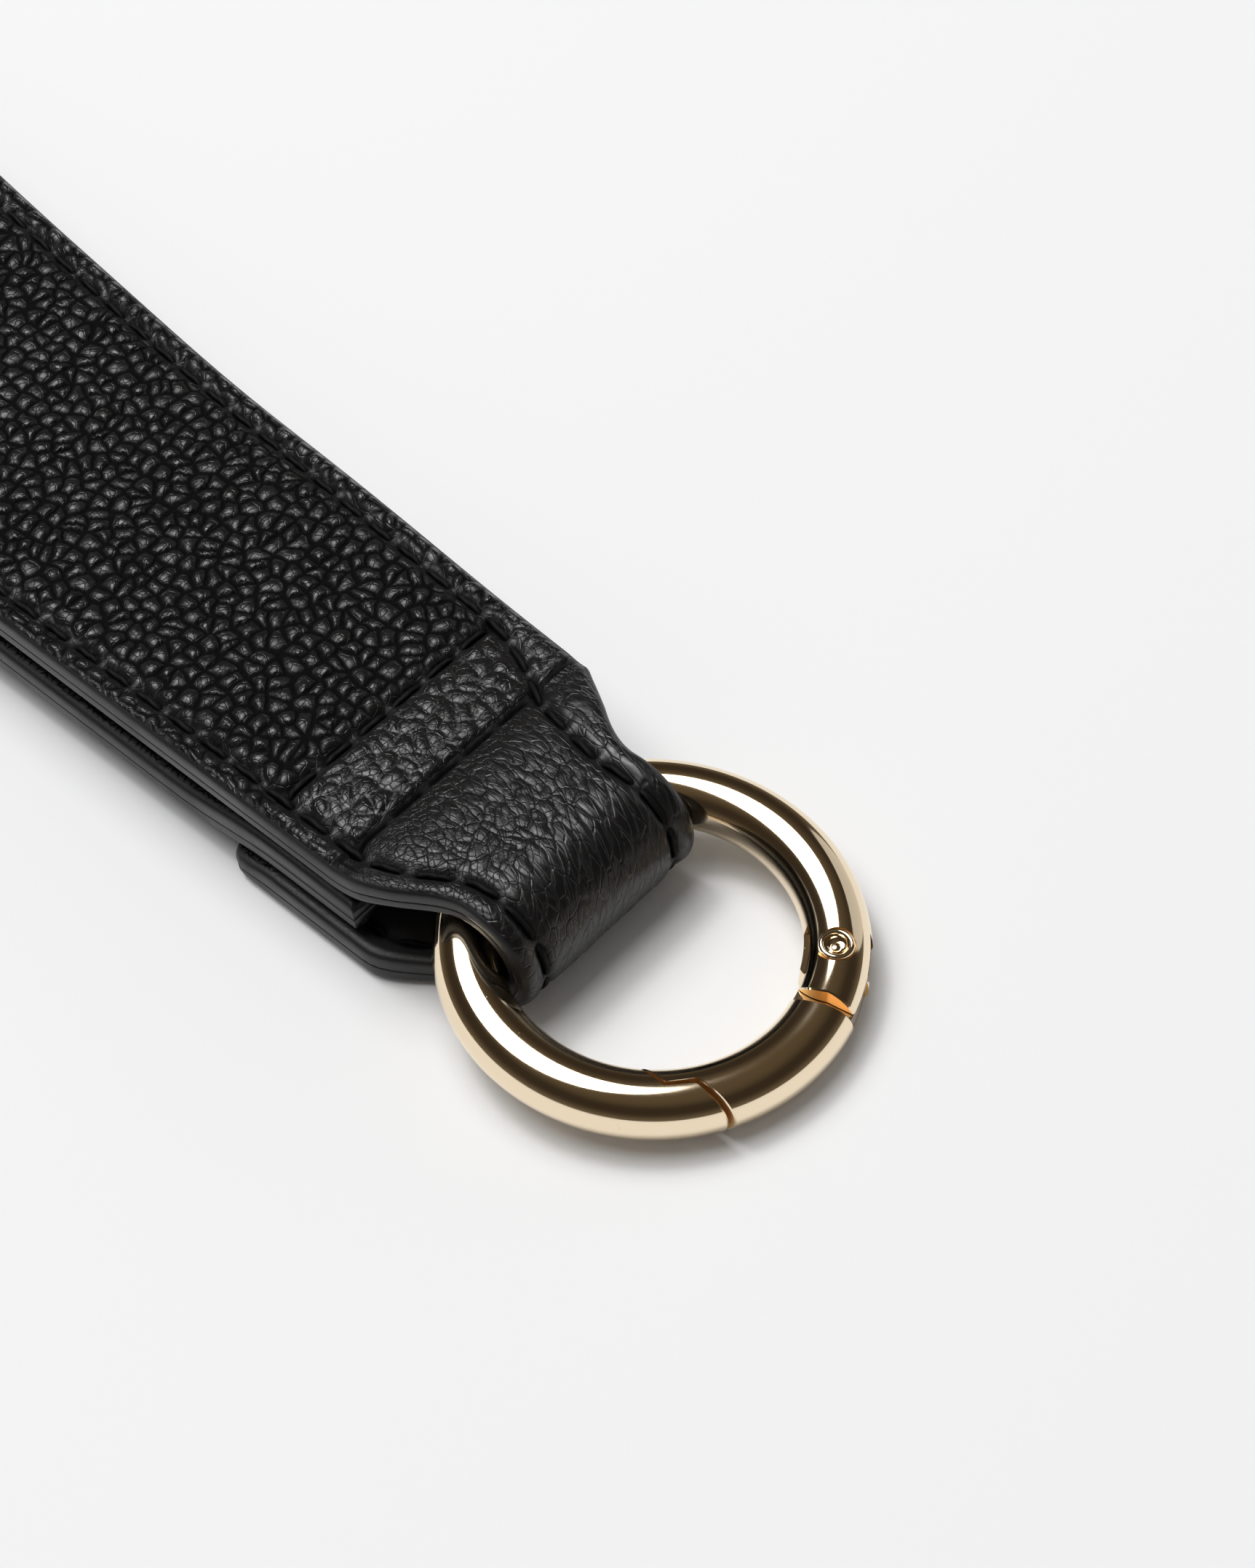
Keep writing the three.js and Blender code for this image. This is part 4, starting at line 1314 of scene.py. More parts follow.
# ---------------------------------------------------------------------------------------------
# the stitches
# ---------------------------------------------------------------------------------------------
@dataclass
class Stitches:
    """Every row of thread, each row one piece."""

    path: StrapPath
    sewing: Sewing
    finishes: Finishes
    sides: int = 6
    steps: int = 8
    fill: float = 0.92
    dip: float = 0.62
    dip_turn: float = 5.0
    pinch: float = 0.28
    breadth: float = 1.1
    height: float = 0.85
    seed: int = 7

    def build(self) -> list[bpy.types.Object]:
        """Builds the edge rows and the box's cross rows.

        Returns:
            The pieces.
        """
        stitch = self._stitch()
        tree = stitch_tree()
        pieces = []
        for side in Side:
            for face, word in ((Face.OUTER, "needle"), (Face.LINING, "bobbin")):
                points, out, _ = self.sewing.row(side, face)
                label = f"{side.name.lower()}_row_{word}_thread"
                piece = self._row(f"{label}_stitches", points, out, stitch, tree)
                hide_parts(label)
                pieces.append(piece)
                bend_with_neck(piece)
        for word, x in self.sewing.cross_lines():
            for face_down, kind in ((False, "needle"), (True, "bobbin")):
                points, out = self.sewing.cross_row(x, face_down)
                label = f"box_{word}_{kind}_thread"
                piece = self._row(f"{label}_stitches", points, out, stitch, tree)
                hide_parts(label)
                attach(piece, "strap")
                pieces.append(piece)
        bpy.data.objects.remove(stitch)
        return pieces

    def _stitch(self) -> bpy.types.Object:
        """One stitch along X with its ends turned down into the needle holes."""
        length, thick = self.sewing.pitch * self.fill, self.sewing.thread / 2
        t = np.linspace(-1, 1, self.steps)[:, None]
        drop = -self.dip * np.abs(t) ** self.dip_turn
        waist = thick * (1.0 - self.pinch * np.abs(t) ** 3)
        turn = circle(self.sides)
        rings = np.stack([np.repeat(t * length / 2, self.sides, 1), waist * turn[:, 0] * self.breadth,
                          drop + waist * turn[:, 1] * self.height], 2)
        faces, _ = ribbon_faces(self.steps, self.sides, np.zeros(self.sides, int), False)
        return mesh_object("stitch_pattern", rings.reshape(-1, 3), faces, [self.finishes.thread])

    def _row(self, name: str, points: np.ndarray, out: np.ndarray, stitch: bpy.types.Object,
             tree: bpy.types.NodeTree) -> bpy.types.Object:
        """Sews one row.

        Args:
            name: name of the piece.
            points: the route in the row frame, in millimetres.
            out: the way out of the leather along it.
            stitch: the pattern of one stitch.
            tree: the sewing tree.

        Returns:
            The row as a plain mesh.
        """
        mesh = bpy.data.meshes.new(name)
        edges = [(i, i + 1) for i in range(len(points) - 1)]
        mesh.from_pydata((points * MM).tolist(), edges, [])
        made = linked(name, mesh)
        sculpt_attribute(made, "out", out)
        return with_nodes(made, tree, {"Stitch": stitch, "Count": self.sewing.count(points),
                                       "Thread": self.finishes.thread, "Seed": self.seed})


def stitch_tree() -> bpy.types.NodeTree:
    """Geometry Nodes tree that lays stitches end to end along a route."""
    graph, given, result = socketed(
        "sewn_row", "GeometryNodeTree",
        {"Geometry": "geometry", "Stitch": "object", "Count": 10, "Thread": "material", "Seed": 7},
        {"Geometry": "geometry"})
    curve = graph.node("GeometryNodeMeshToCurve", {"Mesh": given.outputs["Geometry"]})
    ends = graph.line(given.outputs["Count"], 2.0, 1.0)
    even = graph.node("GeometryNodeResampleCurve", {"Curve": curve.outputs[0], "Count": ends})
    out = graph.node("GeometryNodeInputNamedAttribute", {"Name": "out"}, data_type="FLOAT_VECTOR")
    tangent = graph.node("GeometryNodeInputTangent")
    first = graph.node("FunctionNodeAlignRotationToVector", {"Vector": tangent.outputs[0]}, axis="X")
    second = graph.node("FunctionNodeAlignRotationToVector",
                        {"Rotation": first.outputs[0], "Vector": out.outputs["Attribute"]},
                        axis="Z", pivot_axis="X")
    index = graph.node("GeometryNodeInputIndex").outputs[0]
    middle = graph.math("MODULO", index, 2.0)
    jitter = graph.node("FunctionNodeRandomValue", {"Min": (0.94, 0.9, 0.9), "Max": (1.0, 1.08, 1.1),
                                                    "Seed": given.outputs["Seed"]}, data_type="FLOAT_VECTOR")
    pattern = graph.node("GeometryNodeObjectInfo", {"Object": given.outputs["Stitch"]})
    placed = graph.node("GeometryNodeInstanceOnPoints", {
        "Points": even.outputs[0], "Selection": middle, "Instance": pattern.outputs["Geometry"],
        "Rotation": second.outputs[0], "Scale": jitter.outputs["Value"]})
    real = graph.node("GeometryNodeRealizeInstances", {"Geometry": placed.outputs[0]})
    dressed = graph.node("GeometryNodeSetMaterial", {"Geometry": real.outputs[0],
                                                     "Material": given.outputs["Thread"]})
    graph.feed(result, {"Geometry": dressed.outputs[0]})
    return graph.tree


# ---------------------------------------------------------------------------------------------
# the ring
# ---------------------------------------------------------------------------------------------
@dataclass
class SpringGateRing:
    """The ring's body, gate, rivet, plunger and spring, in millimetres of the ring's plane.

    The splits are places in radius and degrees round the ring. The bearing is the way the plunger
    pushes, and the lever is how far its line passes the rivet.
    """

    ring: Ring
    finishes: Finishes
    split: float = 0.36
    wedge: float = 0.6
    poke: float = 0.12
    clasp: tuple[tuple[float, float], ...] = ((9.64, -61.0), (12.5, -45.0), (12.4, -35.9),
                                              (16.0, -26.9))
    fork_radius: float = 4.07
    fork_turn: tuple[float, float] = (-118.0, -60.0)
    hinge_outer: float = 14.9
    past_wire: float = 16.0
    knuckle: float = 2.7
    knuckle_clear: float = 0.25
    knuckle_inset: float = 0.22
    tongue: float = 1.9
    tongue_lead: float = 4.0
    tongue_end: float = 9.5
    tongue_inset: float = 0.27
    slot: float = 2.1
    shank: float = 2.2
    shank_clear: float = 0.06
    rivet_hole: float = 1.64
    collar: float = 2.5
    collar_height: float = 0.5
    collar_clear: float = 0.1
    collar_roll: float = 0.22
    seat_clear: float = 0.08
    rivet_length: float = 4.84
    plunger: float = 1.3
    plunger_length: float = 1.95
    plunger_dome: float = 0.4
    plunger_bevel: float = 0.08
    lever: float = 0.85
    bearing: float = -47.7
    bore: float = 1.6
    bore_depth: float = 7.5
    bore_end: float = 2.2
    flat: float = 1.6
    spring_wire: float = 0.26
    spring_turns: int = 5
    gap: float = 0.1
    keep: float = 0.76
    chamfer: float = 0.10
    tube_sides: int = 96
    ring_steps: int = 260
    gate_steps: int = 90
    sharp: float = 42.0

    def build(self) -> list[bpy.types.Object]:
        """Builds the five pieces and dresses them.

        Returns:
            The pieces.
        """
        body, gate, rivet = self._body(), self._gate(), self._rivet()
        plunger, spring = self._plunger(), self._spring()
        for piece, node, carrier, slot in ((body, "ring_body", "ring", "gold_plating"),
                                           (gate, "gate", "gate", "gold_plating"),
                                           (rivet, "hinge_rivet", "ring", "gold_plating"),
                                           (plunger, "spring_plunger", "plunger", "spring_steel"),
                                           (spring, "gate_spring", "ring", "spring_steel")):
            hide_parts(node)
            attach(piece, carrier)
        start = Vector(self._on_line(-self.bore_depth)) * MM
        tuple(self._push3())
        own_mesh(spring)
        return [body, gate, rivet, plunger, spring]

    # --- places ---
    def _rivet_at(self) -> np.ndarray:
        """Rivet's place in the ring's plane."""
        return self._polar([(self.ring.mean - self.ring.rivet_inset, self.ring.rivet_angle)])[0]

    def _push(self) -> tuple[np.ndarray, np.ndarray]:
        """The way the plunger pushes, and the way from the rivet towards the ring's centre."""
        push = self._polar([(1.0, self.bearing)])[0]
        return push, np.array([push[1], -push[0]])

    def _push3(self) -> Vector:
        """The way the plunger pushes, in the row frame."""
        push, _ = self._push()
        return self.ring.turn() @ Vector((push[0], push[1], 0.0))

    def _on_line(self, along: float) -> np.ndarray:
        """A point of the plunger's line in the row frame, in millimetres."""
        push, inward = self._push()
        return self._in_row(self._rivet_at() + self.lever * inward + along * push)

    def _in_row(self, place: np.ndarray) -> np.ndarray:
        """A place of the ring's plane in the row frame, in millimetres."""
        return self.ring.to_row(np.array([*place, 0.0]))

    # --- splits ---
    def _split_angle(self, line: np.ndarray, radius: np.ndarray) -> np.ndarray:
        """Angle round the ring of a split line at the given radii from the ring's centre."""
        line = self._dense(line)
        known = np.hypot(line[:, 0], line[:, 1])
        angle = np.degrees(np.arctan2(line[:, 1], line[:, 0]))
        order = np.argsort(known, kind="stable")
        return np.interp(radius, known[order], angle[order])

    @staticmethod
    def _polar(points: Sequence[tuple[float, float]]) -> np.ndarray:
        """Turns radius and degrees into plane points."""
        radius, angle = np.array(points, float).T
        return (radius * np.array([np.cos(np.radians(angle)), np.sin(np.radians(angle))])).T

    @staticmethod
    def _dense(points: np.ndarray, step: float = 0.05) -> np.ndarray:
        """Adds points along straight stretches."""
        made = [points[:1]]
        for a, b in zip(points[:-1], points[1:]):
            count = max(2, int(np.linalg.norm(b - a) / step))
            t = np.linspace(0, 1, count + 1)[1:, None]
            made.append(a + (b - a) * t)
        return np.concatenate(made)

    def _clasp_angle(self, shift: float) -> tuple[Callable[[np.ndarray], np.ndarray], float]:
        """Finds the clasp split, which steps half way through the wire.

        Args:
            shift: how far the split moves towards the gate, in millimetres.

        Returns:
            The angle in degrees as a function of the radius, and the radius of the step.
        """
        line = self._polar(self.clasp)
        at_step = float(np.hypot(*line[1:3].mean(0))) - shift
        lead = math.degrees(shift / self.ring.mean)

        def angle(radius: np.ndarray) -> np.ndarray:
            """Angle of the split at the given radii."""
            inner, outer = self._split_angle(line[:2], radius), self._split_angle(line[2:], radius)
            return np.where(radius < at_step, inner, outer) + lead

        return angle, at_step

    def _hinge_angle(self, shift: float, opening: float = 0.0) -> Callable[[np.ndarray], np.ndarray]:
        """Angle of the hinge split by radius.

        Args:
            shift: how far the split moves towards the body, in millimetres.
            opening: how much further it stands from the body at the ring's inner side.

        Returns:
            The angle in degrees as a function of the radius.
        """
        fork = self._rivet_at() + (self.fork_radius - shift) * arc(*self.fork_turn, 60)
        outer = self.hinge_outer + math.degrees(shift / self.ring.outside * 2)
        line = np.concatenate([fork, self._polar([(self.past_wire, outer)])])

        def angle(radius: np.ndarray) -> np.ndarray:
            """Angle of the split at the given radii."""
            inwards = np.clip((self.ring.outside / 2 - radius - self.chamfer) / self.ring.tube, 0, 1)
            return self._split_angle(line, radius) - np.degrees(opening * inwards / self.ring.mean)

        return angle

    # --- solids ---
    def _tube(self, name: str, start: Callable, end: Callable, wrap: float, steps: int, step_at: float
              ) -> bpy.types.Object:
        """A length of the wire between two splits, with chamfered ends.

        Args:
            name: name of the object.
            start: angle of the first split by radius.
            end: angle of the second split by radius.
            wrap: degrees added to the second split.
            steps: stations along the wire.
            step_at: radius at which the clasp split steps.

        Returns:
            The mesh object.
        """
        tube, mean = self.ring.tube, self.ring.mean
        phi = np.linspace(0, math.tau, self.tube_sides, endpoint=False)
        jump = math.acos(np.clip((step_at - mean) / tube, -1, 1))
        beside, apart = 0.004, 0.02
        extra = np.array([at + by for at in (jump, math.tau - jump) for by in (-beside, beside)])
        phi = np.sort(np.concatenate([phi[np.min(np.abs(phi[:, None] - extra), 1) > apart], extra]))
        radius = mean + tube * np.cos(phi)
        a, b = start(radius), end(radius) + wrap
        cut = math.degrees(self.chamfer / mean)
        t = np.linspace(0, 1, steps)
        theta = np.concatenate([a[None], (a + cut) + t[:, None] * ((b - cut) - (a + cut)), b[None]])
        tubes = np.full(theta.shape, tube)
        tubes[[0, -1]] -= self.chamfer
        rho = mean + tubes * np.cos(phi)
        angle = np.radians(theta)
        points = np.stack([rho * np.cos(angle), rho * np.sin(angle), tubes * np.sin(phi)], 2)
        n, m = theta.shape
        faces, slots = ribbon_faces(n, m, np.zeros(m, int), False)
        faces, slots = faces[:-2], slots[:-2]
        # split end faces take slot 1, the deeper orange of painted reflection and shade
        for base in (0, (n - 1) * m):
            for j in range(m // 2):
                quad = [base + j, base + j + 1, base + (m - j - 1) % m, base + (m - j) % m]
                quad = list(dict.fromkeys(quad))
                if len(quad) > 2:
                    faces.append(quad if base else quad[::-1])
                    slots.append(1)
        return self._plated(name, points.reshape(-1, 3), faces, slots)

    def _plated(self, name: str, points: np.ndarray, faces: Sequence[Sequence[int]], slots: Sequence[int],
                smooth: bool = True) -> bpy.types.Object:
        """Makes a plated solid.

        Args:
            name: name of the object.
            points: N by 3 array in millimetres.
            faces: vertex indices of each face.
            slots: 0 for each open face and 1 for each recessed face, whose deeper orange is painted
                reflection and shade.
            smooth: whether faces are shaded smooth.

        Returns:
            The object, with its faces outwards.
        """
        return outward(mesh_object(name, points, faces, [self.finishes.gold, self.finishes.recess_reflection], slots,
                                   smooth))

    def _cutter(self, points: np.ndarray, low: float, high: float, recess_reflection: bool = True
                ) -> bpy.types.Object:
        """A prism over an outline in the ring's plane, whose faces can take the deeper orange of painted
        reflection and shade.
        """
        n = len(points)
        flat = np.concatenate([np.c_[points, np.full(n, z)] for z in (low, high)])
        return self._prism(flat, recess_reflection, smooth=False)

    def _prism(self, ends: np.ndarray, recess_reflection: bool, smooth: bool) -> bpy.types.Object:
        """A solid between two outlines of as many points, given one after the other."""
        n = len(ends) // 2
        faces = [list(range(n))[::-1], [n + i for i in range(n)]]
        faces += [[i, (i + 1) % n, n + (i + 1) % n, n + i] for i in range(n)]
        # slot 1 gives the faces the deeper orange of painted reflection and shade
        return self._plated("cutter", ends, faces, [int(recess_reflection)] * (n + 2), smooth)

    def _disc(self, radius: float) -> np.ndarray:
        """Outline of a disc round the rivet."""
        return self._rivet_at() + radius * circle(96)

    def _combine(self, target: bpy.types.Object, other: bpy.types.Object, operation: str
                 ) -> bpy.types.Object:
        """Joins or cuts a solid with another, which is used up."""
        modifier = target.modifiers.new("combine", "BOOLEAN")
        modifier.operation, modifier.object, modifier.solver = operation, other, "EXACT"
        baked(target)
        bpy.data.objects.remove(other)
        return target

    def _body(self) -> bpy.types.Object:
        """The ring's body with its forked end, spring bore and rivet seats."""
        clasp, step = self._clasp_angle(-self.split / 2)
        hinge = self._hinge_angle(self.split / 2)
        made = self._tube("ring_body_plated", hinge, clasp, 360.0, self.ring_steps, step)
        rivet, angle, tall = self._rivet_at(), self.ring.rivet_angle, self.ring.wire
        past, before = self.past_wire + 3, self.past_wire / 2
        round_knuckle = rivet + (self.knuckle + self.knuckle_clear) * arc(angle + 130, angle - 40, 60)
        slot = np.concatenate([round_knuckle, self._polar([(past, angle - 14), (past - 1, 3), (before, 3),
                                                           (before, angle - 8)])])
        shank = self._disc(self.shank / 2 + self.shank_clear)
        collar = self._disc(self.collar / 2 + self.collar_clear)
        seat = self.rivet_length / 2 - self.collar_height - self.seat_clear
        for plan, low, high in ((slot, -self.slot / 2, self.slot / 2), (shank, -tall, tall),
                                (collar, seat, tall), (collar, -tall, -seat)):
            self._combine(made, self._cutter(plan, low, high), "DIFFERENCE")
        self._combine(made, self._bore(), "DIFFERENCE")
        return self._shade(made)

    def _bore(self) -> bpy.types.Object:
        """The round hole that the spring and the plunger lie in."""
        push, inward = self._push()
        start = self._rivet_at() + self.lever * inward - self.bore_depth * push
        turn = self.bore / 2 * circle(48)
        ends = [np.c_[start + along * push - turn[:, :1] * inward, turn[:, 1]]
                for along in (0.0, self.bore_depth - self.bore_end)]
        return self._prism(np.concatenate(ends), recess_reflection=True, smooth=True)

    def _gate(self) -> bpy.types.Object:
        """The gate with its tongue and knuckle."""
        clasp, step = self._clasp_angle(self.split / 2)
        hinge = self._hinge_angle(-self.split / 2, self.wedge)
        made = self._tube("gate_plated", clasp, hinge, 0.0, self.gate_steps, step)
        angle, half = self.ring.rivet_angle, self.tongue / 2
        inside, outside = self.ring.mean - self.ring.tube, self.ring.mean + self.ring.tube
        push, _ = self._push()
        disc = self._disc(self.knuckle)
        behind = (disc - self._rivet_at() + self.flat * push) @ push
        disc = disc - np.minimum(behind, 0)[:, None] * push
        reach = np.linalg.norm(disc, axis=1)
        held = np.clip(reach, inside - self.poke, outside - self.knuckle_inset)
        knuckle = self._cutter(disc * (held / reach)[:, None], -half, half, recess_reflection=False)
        inset, level = self.tongue_inset, 0.001
        steps = np.linspace(angle - self.tongue_lead, self.tongue_end, 16)
        plan = self._polar([(outside - inset, a) for a in steps] + [(inside + inset, a) for a in steps[::-1]])
        tongue = self._cutter(plan, level - half, half - level, recess_reflection=False)
        self._combine(made, self._combine(knuckle, tongue, "UNION"), "UNION")
        hole = self._cutter(self._disc(self.shank / 2 + self.shank_clear), -self.tongue, self.tongue)
        return self._shade(self._combine(made, hole, "DIFFERENCE"))

    def _shade(self, made: bpy.types.Object) -> bpy.types.Object:
        """Moves a piece into the row frame and gives the round wire its exact normals.

        Args:
            made: a solid in the ring's plane.

        Returns:
            The same object.
        """
        mesh = made.data
        co = np.zeros(len(mesh.vertices) * 3)
        mesh.vertices.foreach_get("co", co)
        co = co.reshape(-1, 3) / MM
        owner = np.zeros(len(mesh.loops), np.int32)
        mesh.loops.foreach_get("vertex_index", owner)
        flat = np.zeros((len(mesh.loops), 3))
        round_face = np.zeros(len(mesh.loops), bool)
        plan = np.hypot(co[:, 0], co[:, 1])
        radial = np.stack([co[:, 0] / plan, co[:, 1] / plan, np.zeros(len(co))], 1)
        spoke = (plan - self.ring.mean)[:, None] * radial + np.c_[np.zeros((len(co), 2)), co[:, 2]]
        length = np.linalg.norm(spoke, axis=1)
        exact = spoke / np.maximum(length, 1e-6)[:, None]
        off_wire, aligned_from = 0.012, 0.9
        on_wire = np.abs(length - self.ring.tube) < off_wire
        for face in mesh.polygons:
            loops = slice(face.loop_start, face.loop_start + face.loop_total)
            corners = owner[loops]
            flat[loops] = face.normal
            aligned = exact[corners] @ np.array(face.normal)
            round_face[loops] = bool(on_wire[corners].all() and aligned.min() > aligned_from)
        chosen = np.where(round_face[:, None], exact[owner], flat)
        turn = np.array(self.ring.turn())
        mesh.vertices.foreach_set("co", (self.ring.to_row(co) * MM).astype(np.float32).ravel())
        mesh.update()
        mesh.normals_split_custom_set((chosen @ turn.T).tolist())
        return made

    def _lathe(self, name: str, profile: Sequence[tuple[float, float]], sides: int,
               material: bpy.types.Material) -> bpy.types.Object:
        """A turned solid about Z from radius and height pairs.

        Args:
            name: name of the object.
            profile: outline in the half plane, going round anticlockwise and closing on itself.
            sides: steps round the axis.
            material: its material.

        Returns:
            The object, at the origin of the ring's plane.
        """
        outline, turn = np.array(profile, float), circle(sides)
        points = np.stack([outline[None, :, 0] * turn[:, :1], outline[None, :, 0] * turn[:, 1:],
                           np.repeat(outline[None, :, 1], sides, 0)], 2)
        m = len(outline)
        i, j = np.meshgrid(np.arange(sides), np.arange(m), indexing="ij")
        after, below = (i + 1) % sides, (j + 1) % m
        faces = np.stack([i * m + j, after * m + j, after * m + below, i * m + below], -1).reshape(-1, 4)
        return outward(mesh_object(name, points.reshape(-1, 3), faces.tolist(), [material]))

    def _rivet(self) -> bpy.types.Object:
        """The tubular rivet with rolled collars and a domed floor in its hole."""
        hole, shank, collar = self.rivet_hole / 2, self.shank / 2, self.collar / 2
        end, under, roll = self.rivet_length / 2, self.rivet_length / 2 - self.collar_height, self.collar_roll
        crown = [((collar + hole) / 2 + (collar - hole) / 2 * c, end - roll + roll * d)
                 for c, d in arc(0, 180, 13)]
        wall = [(hole * (1 - 0.12 * k), end - 0.36 - 0.10 * k) for k in range(1, 3)]
        floor = [(0.50 * hole * c, end - 0.62 + roll * d) for c, d in arc(0, 87, 9)]
        top = crown + wall + floor
        profile = [(shank, -under), (shank, under), (collar, under), *top]
        profile += [(r, -z) for r, z in reversed(top)] + [(collar, -under)]
        made = self._lathe("rolled_rivet", profile, 96, self.finishes.gold)
        return self._settle(made, self._in_row(self._rivet_at()), self.ring.turn())

    def _settle(self, made: bpy.types.Object, place: np.ndarray, turn: Matrix) -> bpy.types.Object:
        """Moves a solid from the origin to its place and smooths its round faces.

        Args:
            made: the solid, made about Z.
            place: where it goes in the row frame, in millimetres.
            turn: its rotation.

        Returns:
            The same object.
        """
        made.data.transform(Matrix.Translation(Vector(place) * MM) @ turn.to_4x4())
        made.data.shade_smooth()
        made.data.set_sharp_from_angle(angle=math.radians(self.sharp))
        return made

    def _plunger(self) -> bpy.types.Object:
        """The spring plunger with its domed tip."""
        radius, length, middle = self.plunger / 2, self.plunger_length, 0.03
        dome, bevel = self.plunger_dome, self.plunger_bevel
        tip = [(radius * c, dome * d - dome) for c, d in arc(0, 84, 9)]
        profile = [(middle, -length), (radius - bevel, -length), (radius, bevel - length), *tip,
                   (middle, 0.0)]
        made = self._lathe("domed_plunger", profile, 48, self.finishes.steel)
        return self._along_line(made, -self.flat - self.gap)

    def _along_line(self, made: bpy.types.Object, along: float) -> bpy.types.Object:
        """Turns a solid made along Z onto the plunger's line, with its origin at a place on it."""
        turn = Vector((0, 0, 1)).rotation_difference(self._push3()).to_matrix()
        return self._settle(made, self._on_line(along), turn)

    def _spring(self) -> bpy.types.Object:
        """The coil spring behind the plunger."""
        start = -self.bore_depth + self.gap
        length = -self.flat - self.gap - self.plunger_length - self.gap - start
        wire, coil = self.spring_wire / 2, self.plunger / 2 - self.spring_wire / 2
        t = np.linspace(0, 1, self.spring_turns * 36)
        turn = math.tau * self.spring_turns * t
        centre = np.stack([coil * np.cos(turn), coil * np.sin(turn), wire + t * (length - 2 * wire)], 1)
        way = np.gradient(centre, axis=0)
        way /= np.linalg.norm(way, axis=1)[:, None]
        out = np.stack([np.cos(turn), np.sin(turn), np.zeros(len(t))], 1)
        third = np.cross(way, out)
        sides = 12
        round_wire = circle(sides)[None, :, :, None]
        points = centre[:, None] + wire * (round_wire[:, :, 0] * out[:, None]
                                           + round_wire[:, :, 1] * third[:, None])
        faces, _ = ribbon_faces(len(t), sides, np.zeros(sides, int), False)
        made = mesh_object("closing_spring", points.reshape(-1, 3), faces, [self.finishes.steel])
        return self._along_line(outward(made), start)


def outward(made: bpy.types.Object) -> bpy.types.Object:
    """Merges doubles and turns every face outwards.

    Args:
        made: a closed mesh object.

    Returns:
        The same object.
    """
    bm = bmesh.new()
    bm.from_mesh(made.data)
    bmesh.ops.remove_doubles(bm, verts=bm.verts, dist=1e-8)
    bmesh.ops.recalc_face_normals(bm, faces=bm.faces)
    bm.to_mesh(made.data)
    bm.free()
    return made


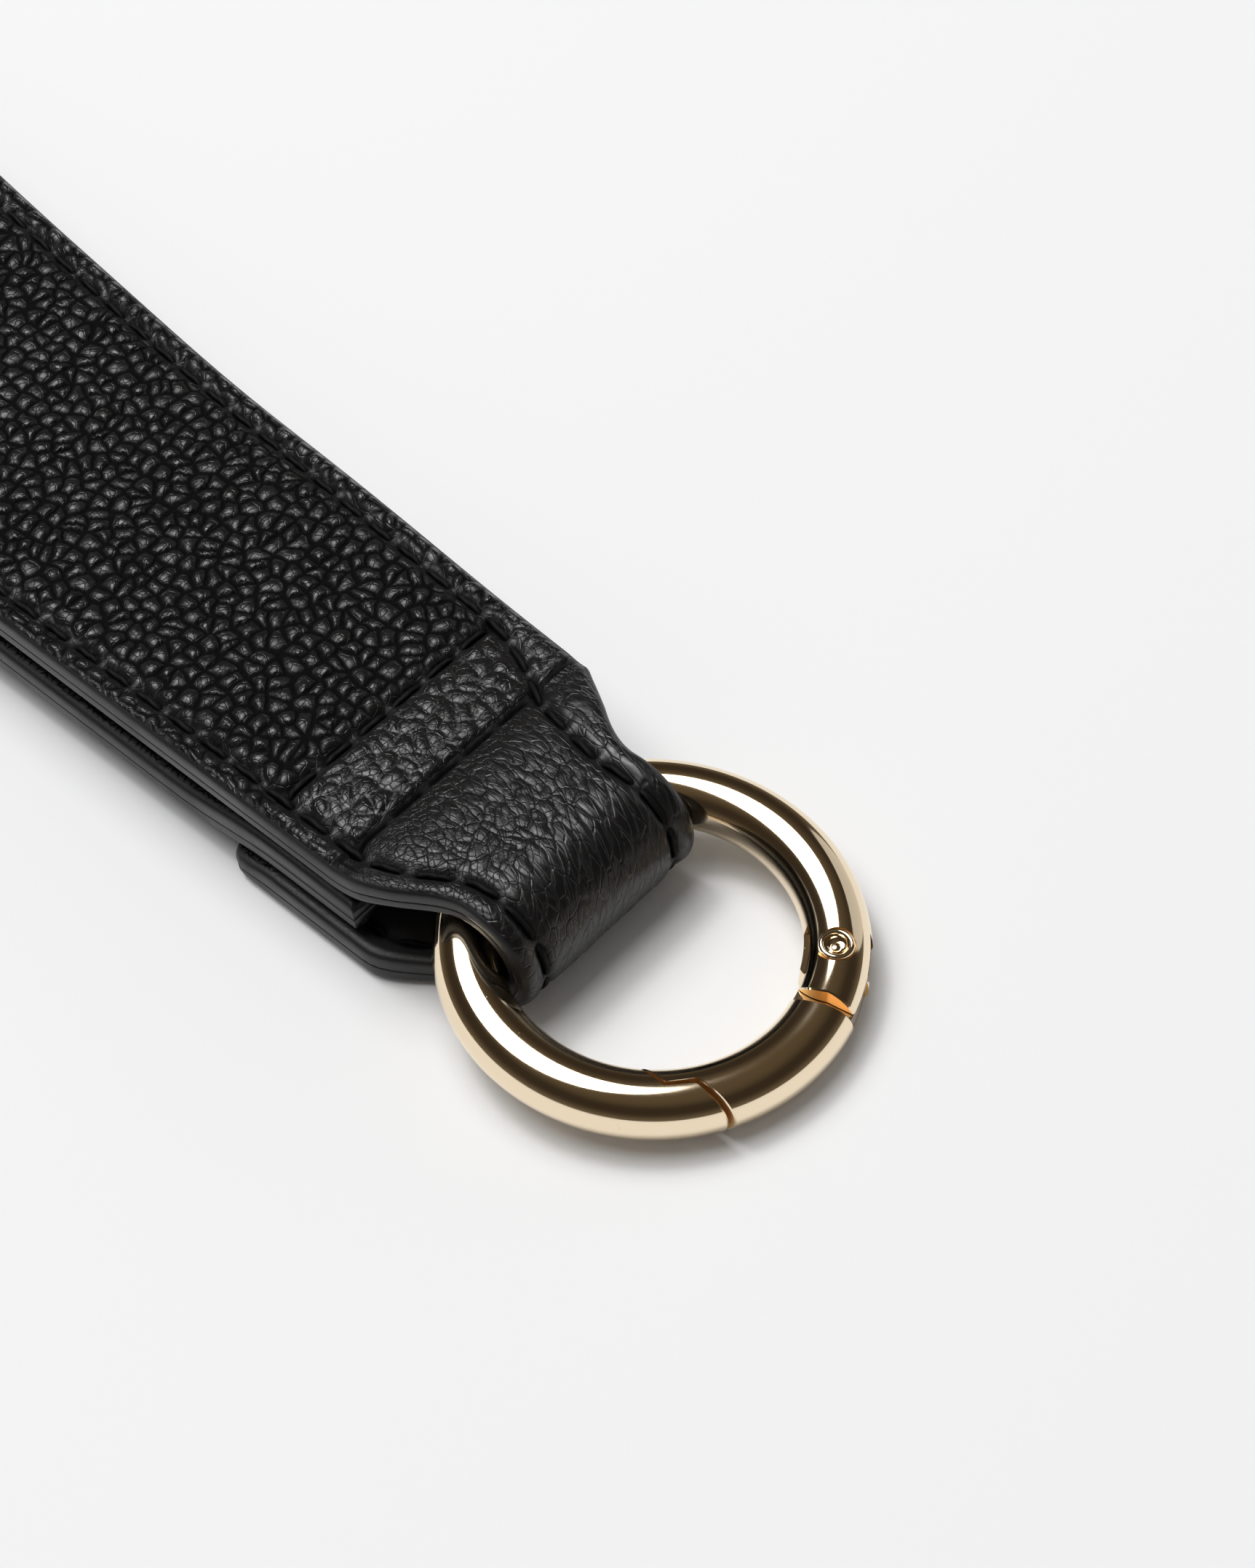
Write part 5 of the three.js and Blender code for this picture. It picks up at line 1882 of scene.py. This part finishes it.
# ---------------------------------------------------------------------------------------------
# the set
# ---------------------------------------------------------------------------------------------
@dataclass
class Studio:
    """Pale floor, soft lights and the camera.

    The camera's place is in millimetres from the ring. The lights are a wide softbox over the
    strap with a bright middle and a pale card at the side. Their places and sizes are in metres,
    the softbox's in parts of its height, and its powers are for a height of one metre.
    """

    ring: Ring
    eye: tuple[float, float, float] = (85.086, -83.005, 157.529)
    right: tuple[float, float, float] = (0.749701, 0.657999, -0.070613)
    down: tuple[float, float, float] = (0.464998, -0.599693, -0.651264)
    lens: float = 65.52
    sensor: float = 36.0
    near_clip: float = 0.01
    far_clip: float = 20.0
    floor_half: float = 6.0
    floor_drop: float = 2e-5
    floor_grey: float = 0.80
    softbox_height: float = 2.0
    softbox_place: tuple[float, float, float] = (-0.42, -0.05, 1.0)
    softbox_power: float = 10.9
    core_place: tuple[float, float, float] = (-0.45, 0.0, 0.98)
    core_size: float = 0.26
    core_power: float = 2.6
    card_place: tuple[float, float, float] = (0.20, 1.6, 0.55)
    card_size: tuple[float, float] = (1.0, 1.3)
    card_power: float = 1.7
    card_turn: tuple[float, float, float] = (-math.pi / 2, 0.0, 0.12)
    fill: Colour = (0.22, 0.22, 0.225, 1.0)
    room: Colour = (0.036, 0.027, 0.018, 1.0)
    room_high: Colour = (0.095, 0.072, 0.044, 1.0)
    room_low: Colour = (0.15, 0.12, 0.085, 1.0)

    def build(self) -> None:
        """Makes the camera, the floor and the lights."""
        self._camera()
        self._floor()
        self._lights()
        view = bpy.context.scene.view_settings
        view.view_transform = "Standard"
        view.look = "None"

    def _camera(self) -> None:
        """The camera looks down on the ring and along the strap."""
        data = bpy.data.cameras.new("camera")
        data.lens, data.sensor_width = self.lens, self.sensor
        data.clip_start, data.clip_end = self.near_clip, self.far_clip
        camera = linked("camera", data)
        right, up = Vector(self.right), -Vector(self.down)
        turn = Matrix((right, up, right.cross(up))).transposed()
        plan = Vector((self.ring.centre.x, self.ring.centre.y, 0.0))
        camera.matrix_world = Matrix.Translation((Vector(self.eye) + plan) * MM) @ turn.to_4x4()
        bpy.context.scene.camera = camera

    def _floor(self) -> None:
        """A plain pale floor."""
        half, low = self.floor_half, -self.floor_drop
        mesh = bpy.data.meshes.new("floor")
        corners = [(-half, -half, low), (half, -half, low), (half, half, low), (-half, half, low)]
        mesh.from_pydata(corners, [], [(0, 1, 2, 3)])
        material, graph, shader = new_material("pale_floor")
        graph.feed(shader, {"Base Color": (self.floor_grey, self.floor_grey, self.floor_grey, 1.0),
                            "Roughness": 0.9, "Specular IOR Level": 0.0})
        mesh.materials.append(material)
        linked("floor", mesh)

    def _lights(self) -> None:
        """A softbox, a card, and a room that is dim where the ring mirrors it."""
        world = bpy.data.worlds.new("room")
        world.use_nodes = True
        graph = Graph(world.node_tree)
        background = world.node_tree.nodes["Background"]
        ray = graph.node("ShaderNodeLightPath").outputs["Is Glossy Ray"]
        way = graph.node("ShaderNodeTexCoord").outputs["Generated"]
        height = graph.node("ShaderNodeSeparateXYZ", {0: way}).outputs[2]
        room = graph.mix(graph.ramp(height, 0.6, 0.95), self.room, self.room_high)
        room = graph.mix(graph.ramp(height, 0.45, -0.1), room, self.room_low)
        graph.feed(background, {"Color": graph.mix(ray, self.fill, room)})
        bpy.context.scene.world = world
        high, down = self.softbox_height, (0.0, 0.0, 0.0)
        for name, place, width, power in (("softbox", self.softbox_place, 1.0, self.softbox_power),
                                          ("softbox_core", self.core_place, self.core_size, self.core_power)):
            self._area(name, Vector(place) * high, (width * high, width * high), power * high ** 2, down)
        self._area("card", Vector(self.card_place), self.card_size, self.card_power, self.card_turn)

    def _area(self, name: str, place: Vector, size: tuple[float, float], power: float,
              turn: tuple[float, float, float]) -> None:
        """Adds an oval light.

        Args:
            name: name of the light.
            place: where it stands, in metres from the ring.
            size: its width and height in metres.
            power: its power in watts.
            turn: its rotation, from facing straight down.
        """
        data = bpy.data.lights.new(name, "AREA")
        data.shape, data.size, data.size_y, data.energy = "ELLIPSE", size[0], size[1], power
        light = linked(name, data)
        light.location = self.ring.centre * MM + place
        light.rotation_euler = turn


def main() -> None:
    """Builds the set and the object and reports each piece."""
    logging.basicConfig(level=logging.INFO, format="%(name)s: %(message)s")
    ring = Ring()
    Studio(ring).build()
    finishes = Finishes()
    path = StrapPath(ring)
    sewing = Sewing(path)
    pieces = Strap(path, sewing, finishes).build()
    pieces += Stitches(path, sewing, finishes).build()
    pieces += SpringGateRing(ring, finishes).build()
    for piece in pieces:
        LOG.info("%s: %d faces", piece.name, len(piece.data.polygons))


if __name__ == "__main__":
    main()
